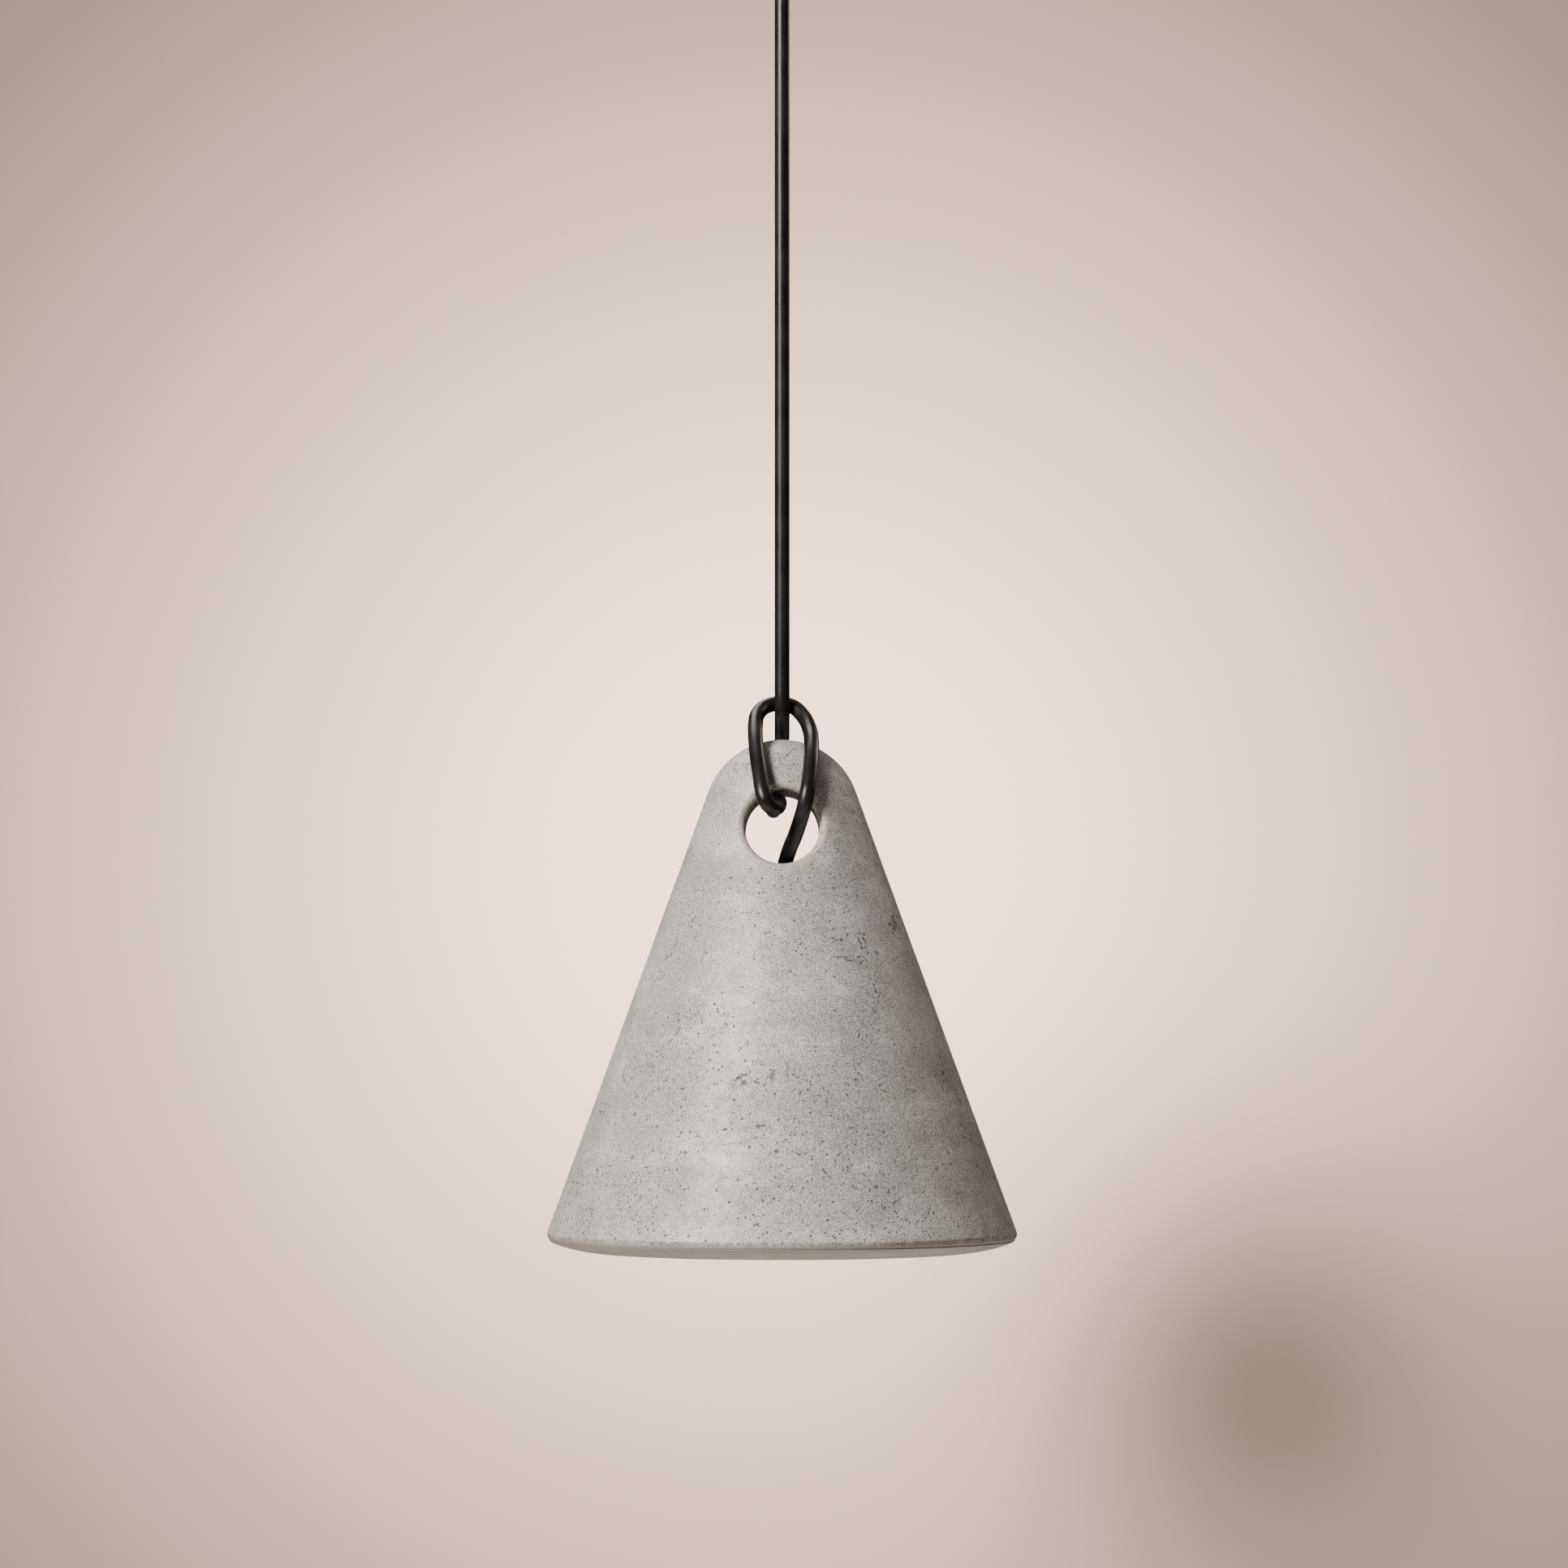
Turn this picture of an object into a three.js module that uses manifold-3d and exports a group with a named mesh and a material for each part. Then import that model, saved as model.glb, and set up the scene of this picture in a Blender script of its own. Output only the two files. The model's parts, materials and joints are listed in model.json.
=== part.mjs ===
// Pendant ceiling light: a cast concrete cone with a round eye through its neck, carried by a black
// round cord that is hitched over the neck and drops from a steel ceiling cup.
// Millimetres, +Z up. The origin is the middle of the bracket's top face, on the ceiling.

import * as THREE from 'three';
import { mergeVertices } from 'three/addons/utils/BufferGeometryUtils.js';
import Module from 'manifold-3d';

const wasm = await Module();
wasm.setup();

// ---------------------------------------------------------------- driving dimensions

const FIT = 0.3; // gap kept between pieces that touch
const DROP = 415; // ceiling to the top of the shade

// cord
const CORD_D = 6.5;
const CORD_SIDES = 10;
const CORD_CLEAR = 0.4; // between the cord and a bore it runs through
const LEAD_D = 2.2; // one insulated core
const LEAD_SPREAD = 1.5; // sideways from the cord's middle to a core
const SWING_BELOW_GRIP = 10; // the first swing axis, below the grip
const SWING_PITCH = 20; // from the first swing axis to the second
const TWIST_BELOW_SWING = 30; // from the second swing axis to where the cord twists

// shade, heights from the top of its dome
const SHADE_R = 100; // widest, at the foot of the cone
const CONE_HALF_ANGLE = THREE.MathUtils.degToRad(20);
const DOME_R = 33.6;
const CORNER_R = 3.2; // rounding between the cone and the underside
const RIM_W = 20; // the underside, from the outside to where it turns up into the cavity
const LIP_DROP = 5; // how far the underside swells below the corner
const LIP_POWER = 1.4; // 1 is a flat bevel, 2 a quarter ellipse
const WALL = 11; // at the top of the cavity, square to the cone
const CAVITY_TOP_R_EASE = 9; // rounding at the top of the cavity
const EYE_R = 15.8;
const EYE_DEPTH = 38.8; // middle of the eye below the dome's top
const EYE_EASE = 2.5; // rounding of the eye's two mouths
const FLOOR_T = 19.4; // concrete between the eye and the cavity
const SHADE_FACETS = 56;
const HITCH_START_Z = 36; // where the straight drop ends, above the dome
const HITCH_STEPS = 80;

// passage from the eye to the lampholder
const TUBE_CLEAR = 0.5; // between the cord and the threaded tube
const TUBE_WALL = 1.25;
const BUSH_WALL = 2.4;
const BUSH_FLANGE_W = 2.9; // how far the flange stands out from the bush
const BUSH_FLANGE_T = 1.8;
const BUSH_LIP_W = 2.6; // the flange's top, outside the rounded mouth
const BUSH_SEAT = 1.6; // how deep the flange's seat is cut below the eye
const BUSH_LENGTH = 15.4;
const BUSH_ON_TUBE = 3; // how far the tube reaches into the bush
const WASHER_W = 9;
const WASHER_T = 1.5;
const NUT_WALL = 3.5; // from the thread to a flat
const NUT_T = 4;
const TUBE_IN_CAP = 3; // how far the tube reaches into the lampholder

// lampholder and bulb
const HOLDER_R = 21;
const HOLDER_WALL = 2;
const HOLDER_CAP_H = 26;
const HOLDER_BOSS_WALL = 3;
const HOLDER_BOSS_H = 5;
const HOLDER_SKIRT_H = 34;
const SKIRT_LIP = 2; // how far the skirt's foot turns in
const INSERT_T = 8;
const TERMINAL_X = 10.5; // a holder terminal from the middle
const TERMINAL_SCREW_D = 3;
const THREAD_R = 14.3; // outside of the brass screw shell
const THREAD_WALL = 0.7;
const THREAD_H = 22;
const BULB_CAP_CLEAR = 0.6; // between the bulb's cap and the screw shell
const BULB_CAP_H = 22;
const BULB_OUT = 5; // metal cap left showing below the screw shell
const BULB_R = 22.5;
const BULB_BODY_H = 19;
const BULB_WALL = 1.4;

// ceiling end
const CUP_R = 45;
const CUP_H = 44;
const CUP_WALL = 1.2;
const CUP_CORNER_R = 4;
const CUP_TOP_GAP = 0.6; // under the ceiling
const STRAP_W = 20;
const STRAP_T = 2;
const EAR_DROP = 14;
const EAR_GAP = 1.8; // between an ear and the cup
const CUP_SCREW_D = 4;
const CUP_SCREW_Z = -8.5;
const SLOT_L = 12;
const SLOT_W = 4.8;
const SLOT_FROM_EAR = 17; // a slot's middle from the ear's outer face
const CABLE_HOLE_D = 9;
const CABLE_HOLE_X = -10.5;
const EARTH_FROM_EAR = 7;
const EARTH_Y = 5.5;
const BLOCK_W = 17;
const BLOCK_H = 15;
const POLE_PITCH = 10;
const SLEEVE_WALL = 0.5;
const POLE_SCREW_D = 3;
const POLE_SCREW_Y = 4.6;
const GRIP_STEM_WALL = 1.5;
const GRIP_STEM_H = 9;
const GRIP_TOP_WALL = 4.1;
const GRIP_END_WALL = 1.9;
const GRIP_FLANGE_W = 2.4;
const GRIP_FLANGE_T = 3;
const GRIP_LENGTH = 17.2; // sleeve below its flange
const GRIP_SCREW_D = 3;
const GRIP_SCREW_DROP = 4; // below the flange
const GRIP_NUT_WALL = 2;
const GRIP_NUT_T = 4;
const GRIP_WASHER_W = 4;
const GRIP_WASHER_T = 1.2;
const CORD_TAIL_IN_CUP = 8; // sheathed cord above the grip's stem

// ---------------------------------------------------------------- worked-out places

const CORD_R = CORD_D / 2;
const BORE_R = CORD_R + CORD_CLEAR;
const APEX = DOME_R / Math.sin(CONE_HALF_ANGLE) - DOME_R; // the cone's tip above the dome's top
const TANGENT_Z = -DOME_R * (1 - Math.sin(CONE_HALF_ANGLE));
const CONE_SLOPE = Math.tan(CONE_HALF_ANGLE);
const CONE_FOOT_Z = APEX - SHADE_R / CONE_SLOPE;
const CORNER_Z = CONE_FOOT_Z - CORNER_R;
const CORNER_END_R = SHADE_R - 0.25 * CORNER_R;
const LIP_INNER_R = SHADE_R - RIM_W;
const EYE_Z = -EYE_DEPTH;
const SEAT_Z = EYE_Z - EYE_R - BUSH_SEAT;
const CAVITY_Z = EYE_Z - EYE_R - FLOOR_T;
const CAVITY_TOP_R = (APEX - CAVITY_Z) * CONE_SLOPE - WALL / Math.cos(CONE_HALF_ANGLE);
const TUBE_BORE_R = CORD_R + TUBE_CLEAR;
const TUBE_R = TUBE_BORE_R + TUBE_WALL;
const TUBE_HOLE_R = TUBE_R + FIT; // in the bush, the washer, the nut and the holder's boss
const BUSH_SPIGOT_R = TUBE_HOLE_R + BUSH_WALL;
const BUSH_FLANGE_R = BUSH_SPIGOT_R + BUSH_FLANGE_W;
const BUSH_MOUTH_R = BUSH_FLANGE_R - BUSH_LIP_W;
const FLANGE_TOP_Z = SEAT_Z + FIT + BUSH_FLANGE_T;
const BUSH_END_Z = FLANGE_TOP_Z - BUSH_LENGTH;
const WASHER_Z = CAVITY_Z - FIT - WASHER_T / 2;
const NUT_Z = WASHER_Z - WASHER_T / 2 - FIT - NUT_T / 2;
const HOLDER_Z = NUT_Z - NUT_T / 2 - FIT; // top of the lampholder's boss
const TUBE_TOP_Z = BUSH_END_Z + BUSH_ON_TUBE;
const TUBE_END_Z = HOLDER_Z - HOLDER_BOSS_H - TUBE_IN_CAP;
const HOLDER_BOSS_R = TUBE_R + HOLDER_BOSS_WALL;
const HOLDER_INNER_R = HOLDER_R - HOLDER_WALL;
const CAP_END_Z = HOLDER_Z - HOLDER_CAP_H;
const SKIRT_Z = CAP_END_Z - FIT;
const SKIRT_END_Z = SKIRT_Z - HOLDER_SKIRT_H;
const INSERT_Z = SKIRT_Z - FIT - INSERT_T / 2;
const THREAD_Z = INSERT_Z - INSERT_T / 2 - FIT;
const TERMINAL_Z = INSERT_Z + INSERT_T / 2 + FIT + LEAD_D / 2; // middle of a core at its screw
const BULB_CAP_R = THREAD_R - THREAD_WALL - BULB_CAP_CLEAR;
const BULB_Z = THREAD_Z - THREAD_H - BULB_OUT; // where the bulb's metal cap meets its body
const BULB_CONTACT_Z = BULB_Z + FIT + BULB_CAP_H + 1;
const BULB_BODY_END_Z = BULB_Z - BULB_BODY_H;

const CUP_INNER_R = CUP_R - CUP_WALL;
const EAR_X = CUP_INNER_R - EAR_GAP; // outer face of an ear
const SLOT_X = EAR_X - SLOT_FROM_EAR;
const EARTH_X = EAR_X - EARTH_FROM_EAR;
const CUP_FLOOR_Z = -CUP_TOP_GAP - CUP_H; // outside of the cup's floor
const CUP_INSIDE_Z = CUP_FLOOR_Z + CUP_WALL;
const GRIP_STEM_R = BORE_R + GRIP_STEM_WALL;
const GRIP_STEM_HOLE_R = GRIP_STEM_R + FIT; // in the cup, the washer and the nut
const GRIP_TOP_R = BORE_R + GRIP_TOP_WALL;
const GRIP_END_R = BORE_R + GRIP_END_WALL;
const GRIP_FLANGE_R = GRIP_TOP_R + GRIP_FLANGE_W;
const GRIP_Z = CUP_FLOOR_Z - FIT; // top of the grip's flange
const GRIP_END_Z = GRIP_Z - GRIP_FLANGE_T - GRIP_LENGTH;
const GRIP_SCREW_Z = GRIP_Z - GRIP_FLANGE_T - GRIP_SCREW_DROP;
const GRIP_WASHER_Z = CUP_INSIDE_Z + FIT;
const GRIP_NUT_Z = GRIP_WASHER_Z + GRIP_WASHER_T + FIT;
const STEM_TOP_Z = GRIP_Z + GRIP_STEM_H;
const SHEATH_TOP_Z = STEM_TOP_Z + CORD_TAIL_IN_CUP;
const SWING_X_Z = GRIP_END_Z - SWING_BELOW_GRIP;
const SWING_Y_Z = SWING_X_Z - SWING_PITCH;
const TWIST_Z = SWING_Y_Z - TWIST_BELOW_SWING;
const BLOCK_TOP_Z = -STRAP_T - FIT;
const BLOCK_END_Z = BLOCK_TOP_Z - BLOCK_H;
const POLE_Z = BLOCK_TOP_Z - BLOCK_H / 2;
const BLOCK_L = 3 * POLE_PITCH;
const SLEEVE_BORE_R = LEAD_D / 2 + FIT;
const SLEEVE_R = SLEEVE_BORE_R + SLEEVE_WALL;

// ---------------------------------------------------------------- materials

function finish(color, roughness, metalness = 0) {
  return () => new THREE.MeshStandardMaterial({ color, roughness, metalness });
}

const concrete = finish(0xbfbab4, 0.9);
const blackCord = finish(0x17171a, 0.55);
const blackPaint = finish(0x202124, 0.5);
const blackNylon = finish(0x1b1c1e, 0.45);
const zincSteel = finish(0xb9bcc0, 0.35, 1);
const brass = finish(0xc9a45a, 0.3, 1);
const whitePlastic = finish(0xe9e7e0, 0.4);
const ceramic = finish(0xf2efe8, 0.3);
const opal = finish(0xf7f4ec, 0.25);
const brownCore = finish(0x6b3f22, 0.5);
const blueCore = finish(0x2c5fa8, 0.5);
const earthCore = finish(0x5f9a3a, 0.5);
const aluminium = finish(0xc8cace, 0.35, 1);

// ---------------------------------------------------------------- geometry helpers

// Profile points are [radius, height]; the outer side is drawn upwards and the inner side downwards.
function revolve(profile, facets = 24) {
  const points = profile.map(([r, z]) => new THREE.Vector2(r, z));
  return new THREE.LatheGeometry(points, facets).rotateX(Math.PI / 2);
}

function ring(outerR, innerR, low, high, facets = 24) {
  return revolve(
    [
      [innerR, low],
      [outerR, low],
      [outerR, high],
      [innerR, high],
      [innerR, low],
    ],
    facets,
  );
}

function disc(radius, low, high, facets = 24) {
  return revolve(
    [
      [0, low],
      [radius, low],
      [radius, high],
      [0, high],
    ],
    facets,
  );
}

function arc(centreR, centreZ, radius, from, to, steps) {
  const points = [];
  for (let i = 0; i <= steps; i += 1) {
    const a = from + ((to - from) * i) / steps;
    points.push([centreR + radius * Math.cos(a), centreZ + radius * Math.sin(a)]);
  }
  return points;
}

function box(length, width, height, x, y, z) {
  return new THREE.BoxGeometry(length, width, height).translate(x, y, z);
}

// A rod along X, from one place to another.
function rodX(radius, from, to, z, facets = 16) {
  const rod = new THREE.CylinderGeometry(radius, radius, Math.abs(to - from), facets);
  return rod.rotateZ(Math.PI / 2).translate((from + to) / 2, 0, z);
}

function rodY(radius, length, x, z, facets = 16) {
  return new THREE.CylinderGeometry(radius, radius, length, facets).translate(x, 0, z);
}

function hexagon(acrossFlats, low, high) {
  return disc(acrossFlats / Math.sqrt(3), low, high, 6);
}

function toSolid(geometry) {
  const bare = geometry.clone();
  bare.deleteAttribute('normal');
  bare.deleteAttribute('uv');
  const merged = mergeVertices(bare, 1e-4);
  const index = merged.index.array;
  const triangles = [];
  for (let i = 0; i < index.length; i += 3) {
    const [a, b, c] = [index[i], index[i + 1], index[i + 2]];
    if (a !== b && b !== c && c !== a) triangles.push(a, b, c);
  }
  const mesh = new wasm.Mesh({
    numProp: 3,
    vertProperties: new Float32Array(merged.attributes.position.array),
    triVerts: new Uint32Array(triangles),
  });
  return new wasm.Manifold(mesh);
}

function toGeometry(solid) {
  const mesh = solid.getMesh();
  const geometry = new THREE.BufferGeometry();
  geometry.setAttribute('position', new THREE.BufferAttribute(mesh.vertProperties, 3));
  geometry.setIndex(new THREE.BufferAttribute(mesh.triVerts, 1));
  geometry.computeVertexNormals();
  return geometry;
}

function cut(body, ...tools) {
  return toGeometry(tools.reduce((left, tool) => left.subtract(toSolid(tool)), toSolid(body)));
}

function join(...bodies) {
  const [first, ...rest] = bodies.map(toSolid);
  return toGeometry(rest.reduce((whole, body) => whole.add(body), first));
}

function circle(radius, sides) {
  const points = [];
  for (let i = 0; i < sides; i += 1) {
    const a = (2 * Math.PI * i) / sides;
    points.push(new THREE.Vector2(radius * Math.cos(a), radius * Math.sin(a)));
  }
  return new THREE.Shape(points);
}

// A flexible run through the points of its route.
function cordAlong(route, diameter, sides, steps) {
  const points = route.map(([x, y, z]) => new THREE.Vector3(x, y, z));
  const extrudePath = new THREE.CatmullRomCurve3(points, false, 'centripetal');
  return new THREE.ExtrudeGeometry(circle(diameter / 2, sides), { steps, extrudePath });
}

// A straight run of cord. Its upper end is round where the run above swings it.
function straightCord(low, high, roundTop) {
  const crown = arc(0, high - CORD_R, CORD_R, 0, Math.PI / 2, 4).slice(1, -1);
  const top = roundTop ? [[CORD_R, high - CORD_R], ...crown] : [[CORD_R, high]];
  return revolve([[0, low], [CORD_R, low], ...top, [0, high]], CORD_SIDES);
}

function part(group, name, geometry, material) {
  const mesh = new THREE.Mesh(geometry, material());
  mesh.name = name;
  group.add(mesh);
  return mesh;
}

// ---------------------------------------------------------------- shade

function shadeRadius(z) {
  if (z > TANGENT_Z) return Math.sqrt(Math.max(DOME_R ** 2 - (z + DOME_R) ** 2, 0));
  return (APEX - z) * CONE_SLOPE;
}

// The swelling underside, from the corner inwards.
function lipPoint(t) {
  const across = Math.cos(t) ** (2 / LIP_POWER);
  const down = Math.sin(t) ** (2 / LIP_POWER);
  return [LIP_INNER_R + (CORNER_END_R - LIP_INNER_R) * across, CORNER_Z - LIP_DROP * down];
}

function shadeProfile() {
  const ease = CAVITY_TOP_R_EASE;
  const ceiling = arc(CAVITY_TOP_R - ease, CAVITY_Z - ease, ease, Math.PI / 2, 0.28, 4);
  const bead = [
    [LIP_INNER_R - 2, CORNER_Z + 3],
    [LIP_INNER_R - 1.6, CORNER_Z - LIP_DROP + 1.6],
  ];
  const lip = [6, 5, 4, 3, 2, 1].map((i) => lipPoint((i * Math.PI) / 12));
  const corner = arc(SHADE_R - CORNER_R, CONE_FOOT_Z - 0.2 * CORNER_R, CORNER_R, -0.95, 0.2, 3);
  const dome = arc(0, -DOME_R, DOME_R, CONE_HALF_ANGLE, Math.PI / 2, 9).slice(0, -1);
  return [[0, CAVITY_Z], ...ceiling, ...bead, ...lip, ...corner, ...dome, [0, 0]];
}

// Where the outside of the shade is, measured along Y, at a distance and angle from the eye's axis.
function depthAt(distance, angle) {
  const z = EYE_Z + distance * Math.sin(angle);
  return Math.sqrt(shadeRadius(z) ** 2 - (distance * Math.cos(angle)) ** 2);
}

// The eye as a cutter: a bore along Y whose two mouths flare into the outside of the shade.
function eyeCutter(around = 28, mouthSteps = 3) {
  const reach = SHADE_R;
  const flare = 0.1; // how steeply the cutter leaves the outside, in radians
  const stations = [];
  for (let i = 0; i < around; i += 1) {
    const angle = (2 * Math.PI * i) / around;
    const centre = EYE_R + EYE_EASE;
    const step = 0.5;
    const slope = (depthAt(centre + step, angle) - depthAt(centre - step, angle)) / (2 * step);
    const middle = depthAt(centre, angle) - EYE_EASE * Math.hypot(1, slope);
    const turn = Math.PI / 2 - Math.atan(slope);
    const points = [];
    for (let k = 0; k <= mouthSteps; k += 1) {
      const a = (turn * k) / mouthSteps;
      points.push([centre - EYE_EASE * Math.cos(a), middle + EYE_EASE * Math.sin(a)]);
    }
    const [endR, endY] = points.at(-1);
    const lean = Math.atan(slope) + flare;
    points.push([endR + 4 * Math.cos(lean), endY + 4 * Math.sin(lean)]);
    points.push([endR + 4 * Math.cos(lean), reach]);
    stations.push({ angle, points });
  }
  const perSide = stations[0].points.length;
  const rings = [];
  for (let k = perSide - 1; k >= 0; k -= 1) rings.push([k, -1]);
  for (let k = 0; k < perSide; k += 1) rings.push([k, 1]);
  const positions = [];
  for (const [k, side] of rings) {
    for (const { angle, points } of stations) {
      const [r, y] = points[k];
      positions.push(r * Math.cos(angle), side * y, EYE_Z + r * Math.sin(angle));
    }
  }
  positions.push(0, -reach, EYE_Z, 0, reach, EYE_Z);
  const front = rings.length * around;
  const index = [];
  for (let i = 0; i < around; i += 1) {
    const next = (i + 1) % around;
    index.push(front, i, next);
    index.push(front + 1, front - around + next, front - around + i);
    for (let k = 0; k < rings.length - 1; k += 1) {
      const [a, b] = [k * around + i, k * around + next];
      index.push(a, a + around, b, b, a + around, b + around);
    }
  }
  const geometry = new THREE.BufferGeometry();
  geometry.setAttribute('position', new THREE.Float32BufferAttribute(positions, 3));
  geometry.setIndex(index);
  return geometry;
}

function concreteShade() {
  const seat = disc(BUSH_FLANGE_R + FIT, SEAT_Z, EYE_Z, 32);
  const passage = disc(BUSH_SPIGOT_R + FIT, CAVITY_Z - 5, EYE_Z, 32);
  return cut(revolve(shadeProfile(), SHADE_FACETS), eyeCutter(), seat, passage);
}

function eyeBush() {
  return revolve(
    [
      [TUBE_HOLE_R, BUSH_END_Z],
      [BUSH_SPIGOT_R, BUSH_END_Z],
      [BUSH_SPIGOT_R, SEAT_Z + FIT],
      [BUSH_FLANGE_R, SEAT_Z + FIT],
      [BUSH_FLANGE_R, FLANGE_TOP_Z - 0.6],
      [BUSH_FLANGE_R - 0.8, FLANGE_TOP_Z],
      [BUSH_MOUTH_R, FLANGE_TOP_Z],
      [BUSH_MOUTH_R - 1.6, FLANGE_TOP_Z - 3],
      [BORE_R + 0.9, TUBE_TOP_Z + 4],
      [BORE_R + 0.6, TUBE_TOP_Z + 0.6],
      [TUBE_HOLE_R, TUBE_TOP_Z + 0.6],
      [TUBE_HOLE_R, BUSH_END_Z],
    ],
  );
}

// ---------------------------------------------------------------- cord

// From the straight drop, over the dome, down its back, under the neck through the eye, up the front
// on the left, round behind the drop, down the front on the right, into the eye and down its floor.
const HITCH_ROUTE = [
  [0, 0, HITCH_START_Z],
  [0, 0, 24],
  [0, 0.3, 15.4],
  [0, 2.6, 9.6],
  [0, 6.8, 6.2],
  [0, 12, 3.8],
  [-0.1, 18, 0.5],
  [-0.5, 24.6, -5.4],
  [-1.2, 30.2, -11],
  [-2, 34.3, -15.8],
  [-2.6, 35.9, -19.2],
  [-3, 36, -22.8],
  [-3.4, 34.6, -26.2],
  [-3.7, 31.7, -28.3],
  [-3.8, 27.8, -29],
  [-3.6, 23, -28.6],
  [-3.1, 14, -27.6],
  [-2.4, 0, -27],
  [-1.8, -14, -27.1],
  [-1.3, -23, -27.7],
  [-1.2, -29, -28.9],
  [-1.6, -33, -30.3],
  [-2.5, -36.4, -31],
  [-3.8, -38.9, -31.2],
  [-5.4, -40.6, -30.4],
  [-6.9, -41.2, -28.4],
  [-8, -40.5, -25.5],
  [-8.7, -38.6, -21.8],
  [-9.5, -34.4, -16],
  [-10.5, -27.8, -9.2],
  [-11.2, -19.4, -1.6],
  [-11.4, -10, 5.2],
  [-10.6, -2, 10.6],
  [-7.2, 4.6, 14.6],
  [-1.4, 7.4, 16.2],
  [4.8, 6, 14.6],
  [9.6, 0.8, 9.4],
  [11.9, -7, 3.4],
  [12.5, -15.6, -1.8],
  [12.4, -24.1, -8.2],
  [11.6, -31.2, -17],
  [10.4, -35.6, -25],
  [9.2, -35, -31],
  [7.6, -29.4, -36.2],
  [5.6, -20.6, -41.8],
  [3.2, -10.6, -47.2],
  [1.4, -3.2, -52.8],
  [0.3, -0.4, -58.4],
  [0, 0, -64],
  [0, 0, -74],
];
const HITCH_END_Z = HITCH_ROUTE.at(-1)[2];

// ---------------------------------------------------------------- bracket and cup

function bracket() {
  const strap = box(2 * EAR_X, STRAP_W, STRAP_T, 0, 0, -STRAP_T / 2);
  const ears = [-1, 1].map((side) =>
    box(STRAP_T, STRAP_W, EAR_DROP, side * (EAR_X - STRAP_T / 2), 0, -EAR_DROP / 2),
  );
  const slots = [-1, 1].map((side) =>
    box(SLOT_L, SLOT_W, 3 * STRAP_T, side * SLOT_X, 0, -STRAP_T / 2),
  );
  const cableHole = disc(CABLE_HOLE_D / 2, -3 * STRAP_T, STRAP_T, 16).translate(CABLE_HOLE_X, 0, 0);
  const earthHole = disc(POLE_SCREW_D / 2 + FIT, -3 * STRAP_T, STRAP_T, 12);
  earthHole.translate(EARTH_X, EARTH_Y, 0);
  const screwHole = rodX(CUP_SCREW_D / 2 + FIT, -EAR_X - 1, EAR_X + 1, CUP_SCREW_Z);
  return cut(join(strap, ...ears), ...slots, cableHole, earthHole, screwHole);
}

const POLES = ['live', 'earth', 'neutral'];
const poleX = (i) => (i - 1) * POLE_PITCH;

function terminalBlock() {
  const body = box(BLOCK_L, BLOCK_W, BLOCK_H, 0, 0, POLE_Z);
  const grooves = [0.5, 1.5].map((i) =>
    box(1.2, BLOCK_W + 2, 4, poleX(i), 0, BLOCK_END_Z),
  );
  const bores = POLES.map((_, i) => rodY(SLEEVE_R + FIT, BLOCK_W + 2, poleX(i), POLE_Z));
  const wells = POLES.flatMap((_, i) =>
    [-1, 1].map((side) =>
      disc(POLE_SCREW_D / 2 + FIT, BLOCK_END_Z - 1, POLE_Z, 12).translate(
        poleX(i),
        side * POLE_SCREW_Y,
        0,
      ),
    ),
  );
  return cut(body, ...grooves, ...bores, ...wells);
}

// A slotted screw standing on its head, its tip up.
function slottedScrew(headR, headH, shankR, length) {
  const body = revolve(
    [
      [0, -headH],
      [headR, -headH],
      [headR, 0],
      [shankR, 0],
      [shankR, length],
      [0, length],
    ],
    12,
  );
  return cut(body, box(2 * headR + 1, headR * 0.35, headH, 0, 0, -headH));
}

function ceilingCup() {
  const top = -CUP_TOP_GAP;
  const down = -Math.PI / 2;
  const turn = CUP_R - CUP_CORNER_R;
  const outside = arc(turn, CUP_FLOOR_Z + CUP_CORNER_R, CUP_CORNER_R, down, 0, 4);
  const insideR = CUP_CORNER_R - CUP_WALL;
  const inside = arc(turn, CUP_INSIDE_Z + insideR, insideR, 0, down, 4);
  const hole = GRIP_STEM_HOLE_R;
  const shell = revolve(
    [
      [hole, CUP_FLOOR_Z],
      ...outside,
      [CUP_R, top],
      [CUP_INNER_R, top],
      ...inside,
      [hole, CUP_INSIDE_Z],
      [hole, CUP_FLOOR_Z],
    ],
    40,
  );
  const slotW = CUP_SCREW_D + 1;
  const slotEnd = rodX(slotW / 2, -CUP_R - 2, CUP_R + 2, CUP_SCREW_Z, 16);
  const slot = box(2 * CUP_R + 4, slotW, -CUP_SCREW_Z, 0, 0, CUP_SCREW_Z / 2);
  return cut(shell, slotEnd, slot);
}

// ---------------------------------------------------------------- cord grip

function gripBody() {
  return cut(
    revolve(
      [
        [BORE_R, GRIP_END_Z],
        [GRIP_END_R, GRIP_END_Z],
        [GRIP_TOP_R, GRIP_Z - GRIP_FLANGE_T - 3],
        [GRIP_TOP_R, GRIP_Z - GRIP_FLANGE_T],
        [GRIP_FLANGE_R, GRIP_Z - GRIP_FLANGE_T + 0.8],
        [GRIP_FLANGE_R, GRIP_Z],
        [GRIP_STEM_R, GRIP_Z],
        [GRIP_STEM_R, STEM_TOP_Z],
        [BORE_R, STEM_TOP_Z],
        [BORE_R, GRIP_END_Z],
      ],
      28,
    ),
    rodX(GRIP_SCREW_D / 2 + FIT, 0, GRIP_FLANGE_R, GRIP_SCREW_Z, 12),
  );
}

function gripScrew() {
  const length = GRIP_TOP_R - CORD_R - FIT;
  const screw = disc(GRIP_SCREW_D / 2, 0, length, 12);
  return cut(screw, box(4, 0.6, 1, 0, 0, length)).rotateY(Math.PI / 2);
}

// ---------------------------------------------------------------- lampholder and bulb

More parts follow.
